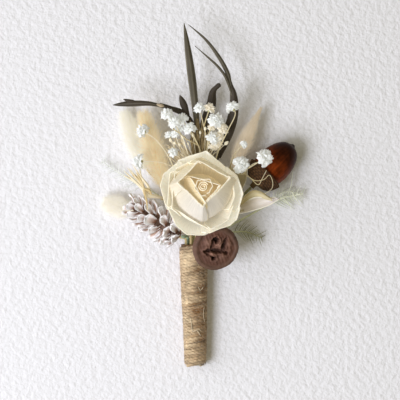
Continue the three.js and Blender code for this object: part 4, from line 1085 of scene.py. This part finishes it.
def fern(name, through, start, reach, seed, pale, green):
    """A frond of main needles, as in the solid, each with two finer ones after it."""
    draw, rng = Sequence(seed), random.Random(seed)
    build = Build()
    pale, green = srgb(*pale), srgb(*green)
    stem(build, name, through, srgb(176, 176, 140), pale, radius=0.42, tip_radius=0.16)
    line = curve([lane_point(name, LANE_MOUTH), *through], 400)
    gone, slopes = lengths(line), np.gradient(line, axis=0)
    for k in range(MAIN_NEEDLES * 3):
        main = k % 3 == 0
        chance, width = (draw, 0.24) if main else (rng.random, 0.16)
        t = mix(start, LAST_NEEDLE, min(k / 3 / (MAIN_NEEDLES - 1), 1))
        at, ahead = (array([np.interp(t * gone[-1], gone, column) for column in table.T])
                     for table in (line, slopes))
        ahead = unit(ahead)
        side = unit(cross(ahead, UP)) * (1 if (k // 3 + k % 3) % 2 else -1)
        length = reach * (0.7 + 0.5 * chance()) * (1.1 - 0.6 * (t - start) / (1 - start))
        out = unit(ahead * 0.75 + side + UP * 0.16 * chance())
        length *= 1 if main else rng.uniform(0.5, 0.9)
        tip = at + out * length
        points = curve([at, mix(at, tip, 0.5) - 0.3 * ahead * rng.uniform(-0.1, 0.3) * length, tip], 6)
        keep_above(points, 0.2)
        hair(build, points, width, ease(rng.random(), green, pale))
    for route in FERN_CURLS if name == "fern_right" else ():
        hair(build, curve(route, 14), 0.34, ease(rng.uniform(0.5, 1), green, pale))
    build.piece(name + "_needles", name, "pale_fern", FERN)


twine_handle()
rose()
gumnut()
acorn()
cone()
for tail, details in TAILS.items():
    bunny_tail(tail, *details)
dark_leaves()
cream_leaves()
straw_leaf()
babys_breath()
for frond, details in FERNS.items():
    fern(frond, *details)

# Floor, light and camera

FLOOR_REACH = 3.0
VIEW_WIDTH, DISTANCE, SENSOR = 168.0, 1200.0, 36.0
VIEW_CENTRE = (1.68, 18.06, 10.0)


def floor():
    made, tree, shader = new_material("plaster")
    place = add_node(tree, "TexCoord", {})
    grit = add_node(tree, "TexNoise", {"Vector": place["Object"], "Scale": 440, "Detail": 3,
                                       "Roughness": 0.55})
    relief = add_node(tree, "Bump", {"Height": grit["Fac"], "Strength": 0.66, "Distance": 1.3 * MM})
    fill(shader, {"Base Color": (0.872, 0.86, 0.886, 1), "Roughness": 0.9, "Specular IOR Level": 0.2,
                  "Normal": relief["Normal"]})
    mesh = bpy.data.meshes.new("floor")
    corners = [(FLOOR_REACH * x, FLOOR_REACH * y, 0) for x, y in ((-1, -1), (1, -1), (1, 1), (-1, 1))]
    mesh.from_pydata(corners, [], [(0, 1, 2, 3)])
    mesh.materials.append(made)
    new_object("floor", mesh)


def soft_light(name, place, size, power, colour):
    """A round light that is turned to the middle of the piece."""
    data = bpy.data.lights.new(name, "AREA")
    data.shape = "DISK"
    data.size = size
    data.energy = power
    data.color = colour
    obj = new_object(name, data)
    obj.location = place
    obj.rotation_mode = "QUATERNION"
    obj.rotation_quaternion = (Vector((0.002, 0.02, 0.01)) - Vector(place)).to_track_quat("-Z", "Y")


floor()
soft_light("key", (-0.41, -0.24, 0.66), 0.4, 4.95, (0.865, 0.898, 1.0))
soft_light("side", (-1.3, 0.2, 0.9), 1.5, 9.75, (0.92, 0.932, 1.0))
scene = bpy.context.scene
scene.world = bpy.data.worlds.new("room")
scene.world.use_nodes = True
fill(scene.world.node_tree.nodes["Background"], {"Color": (0.985, 0.92, 0.655, 1), "Strength": 0.31})
scene.view_settings.view_transform = "Standard"

camera_data = bpy.data.cameras.new("camera")
camera_data.sensor_width = SENSOR
camera_data.lens = SENSOR * DISTANCE / VIEW_WIDTH
camera_data.clip_end = 10
camera = new_object("camera", camera_data)
camera.location = (Vector(VIEW_CENTRE) + Vector((0, 0, DISTANCE))) * MM
scene.camera = camera
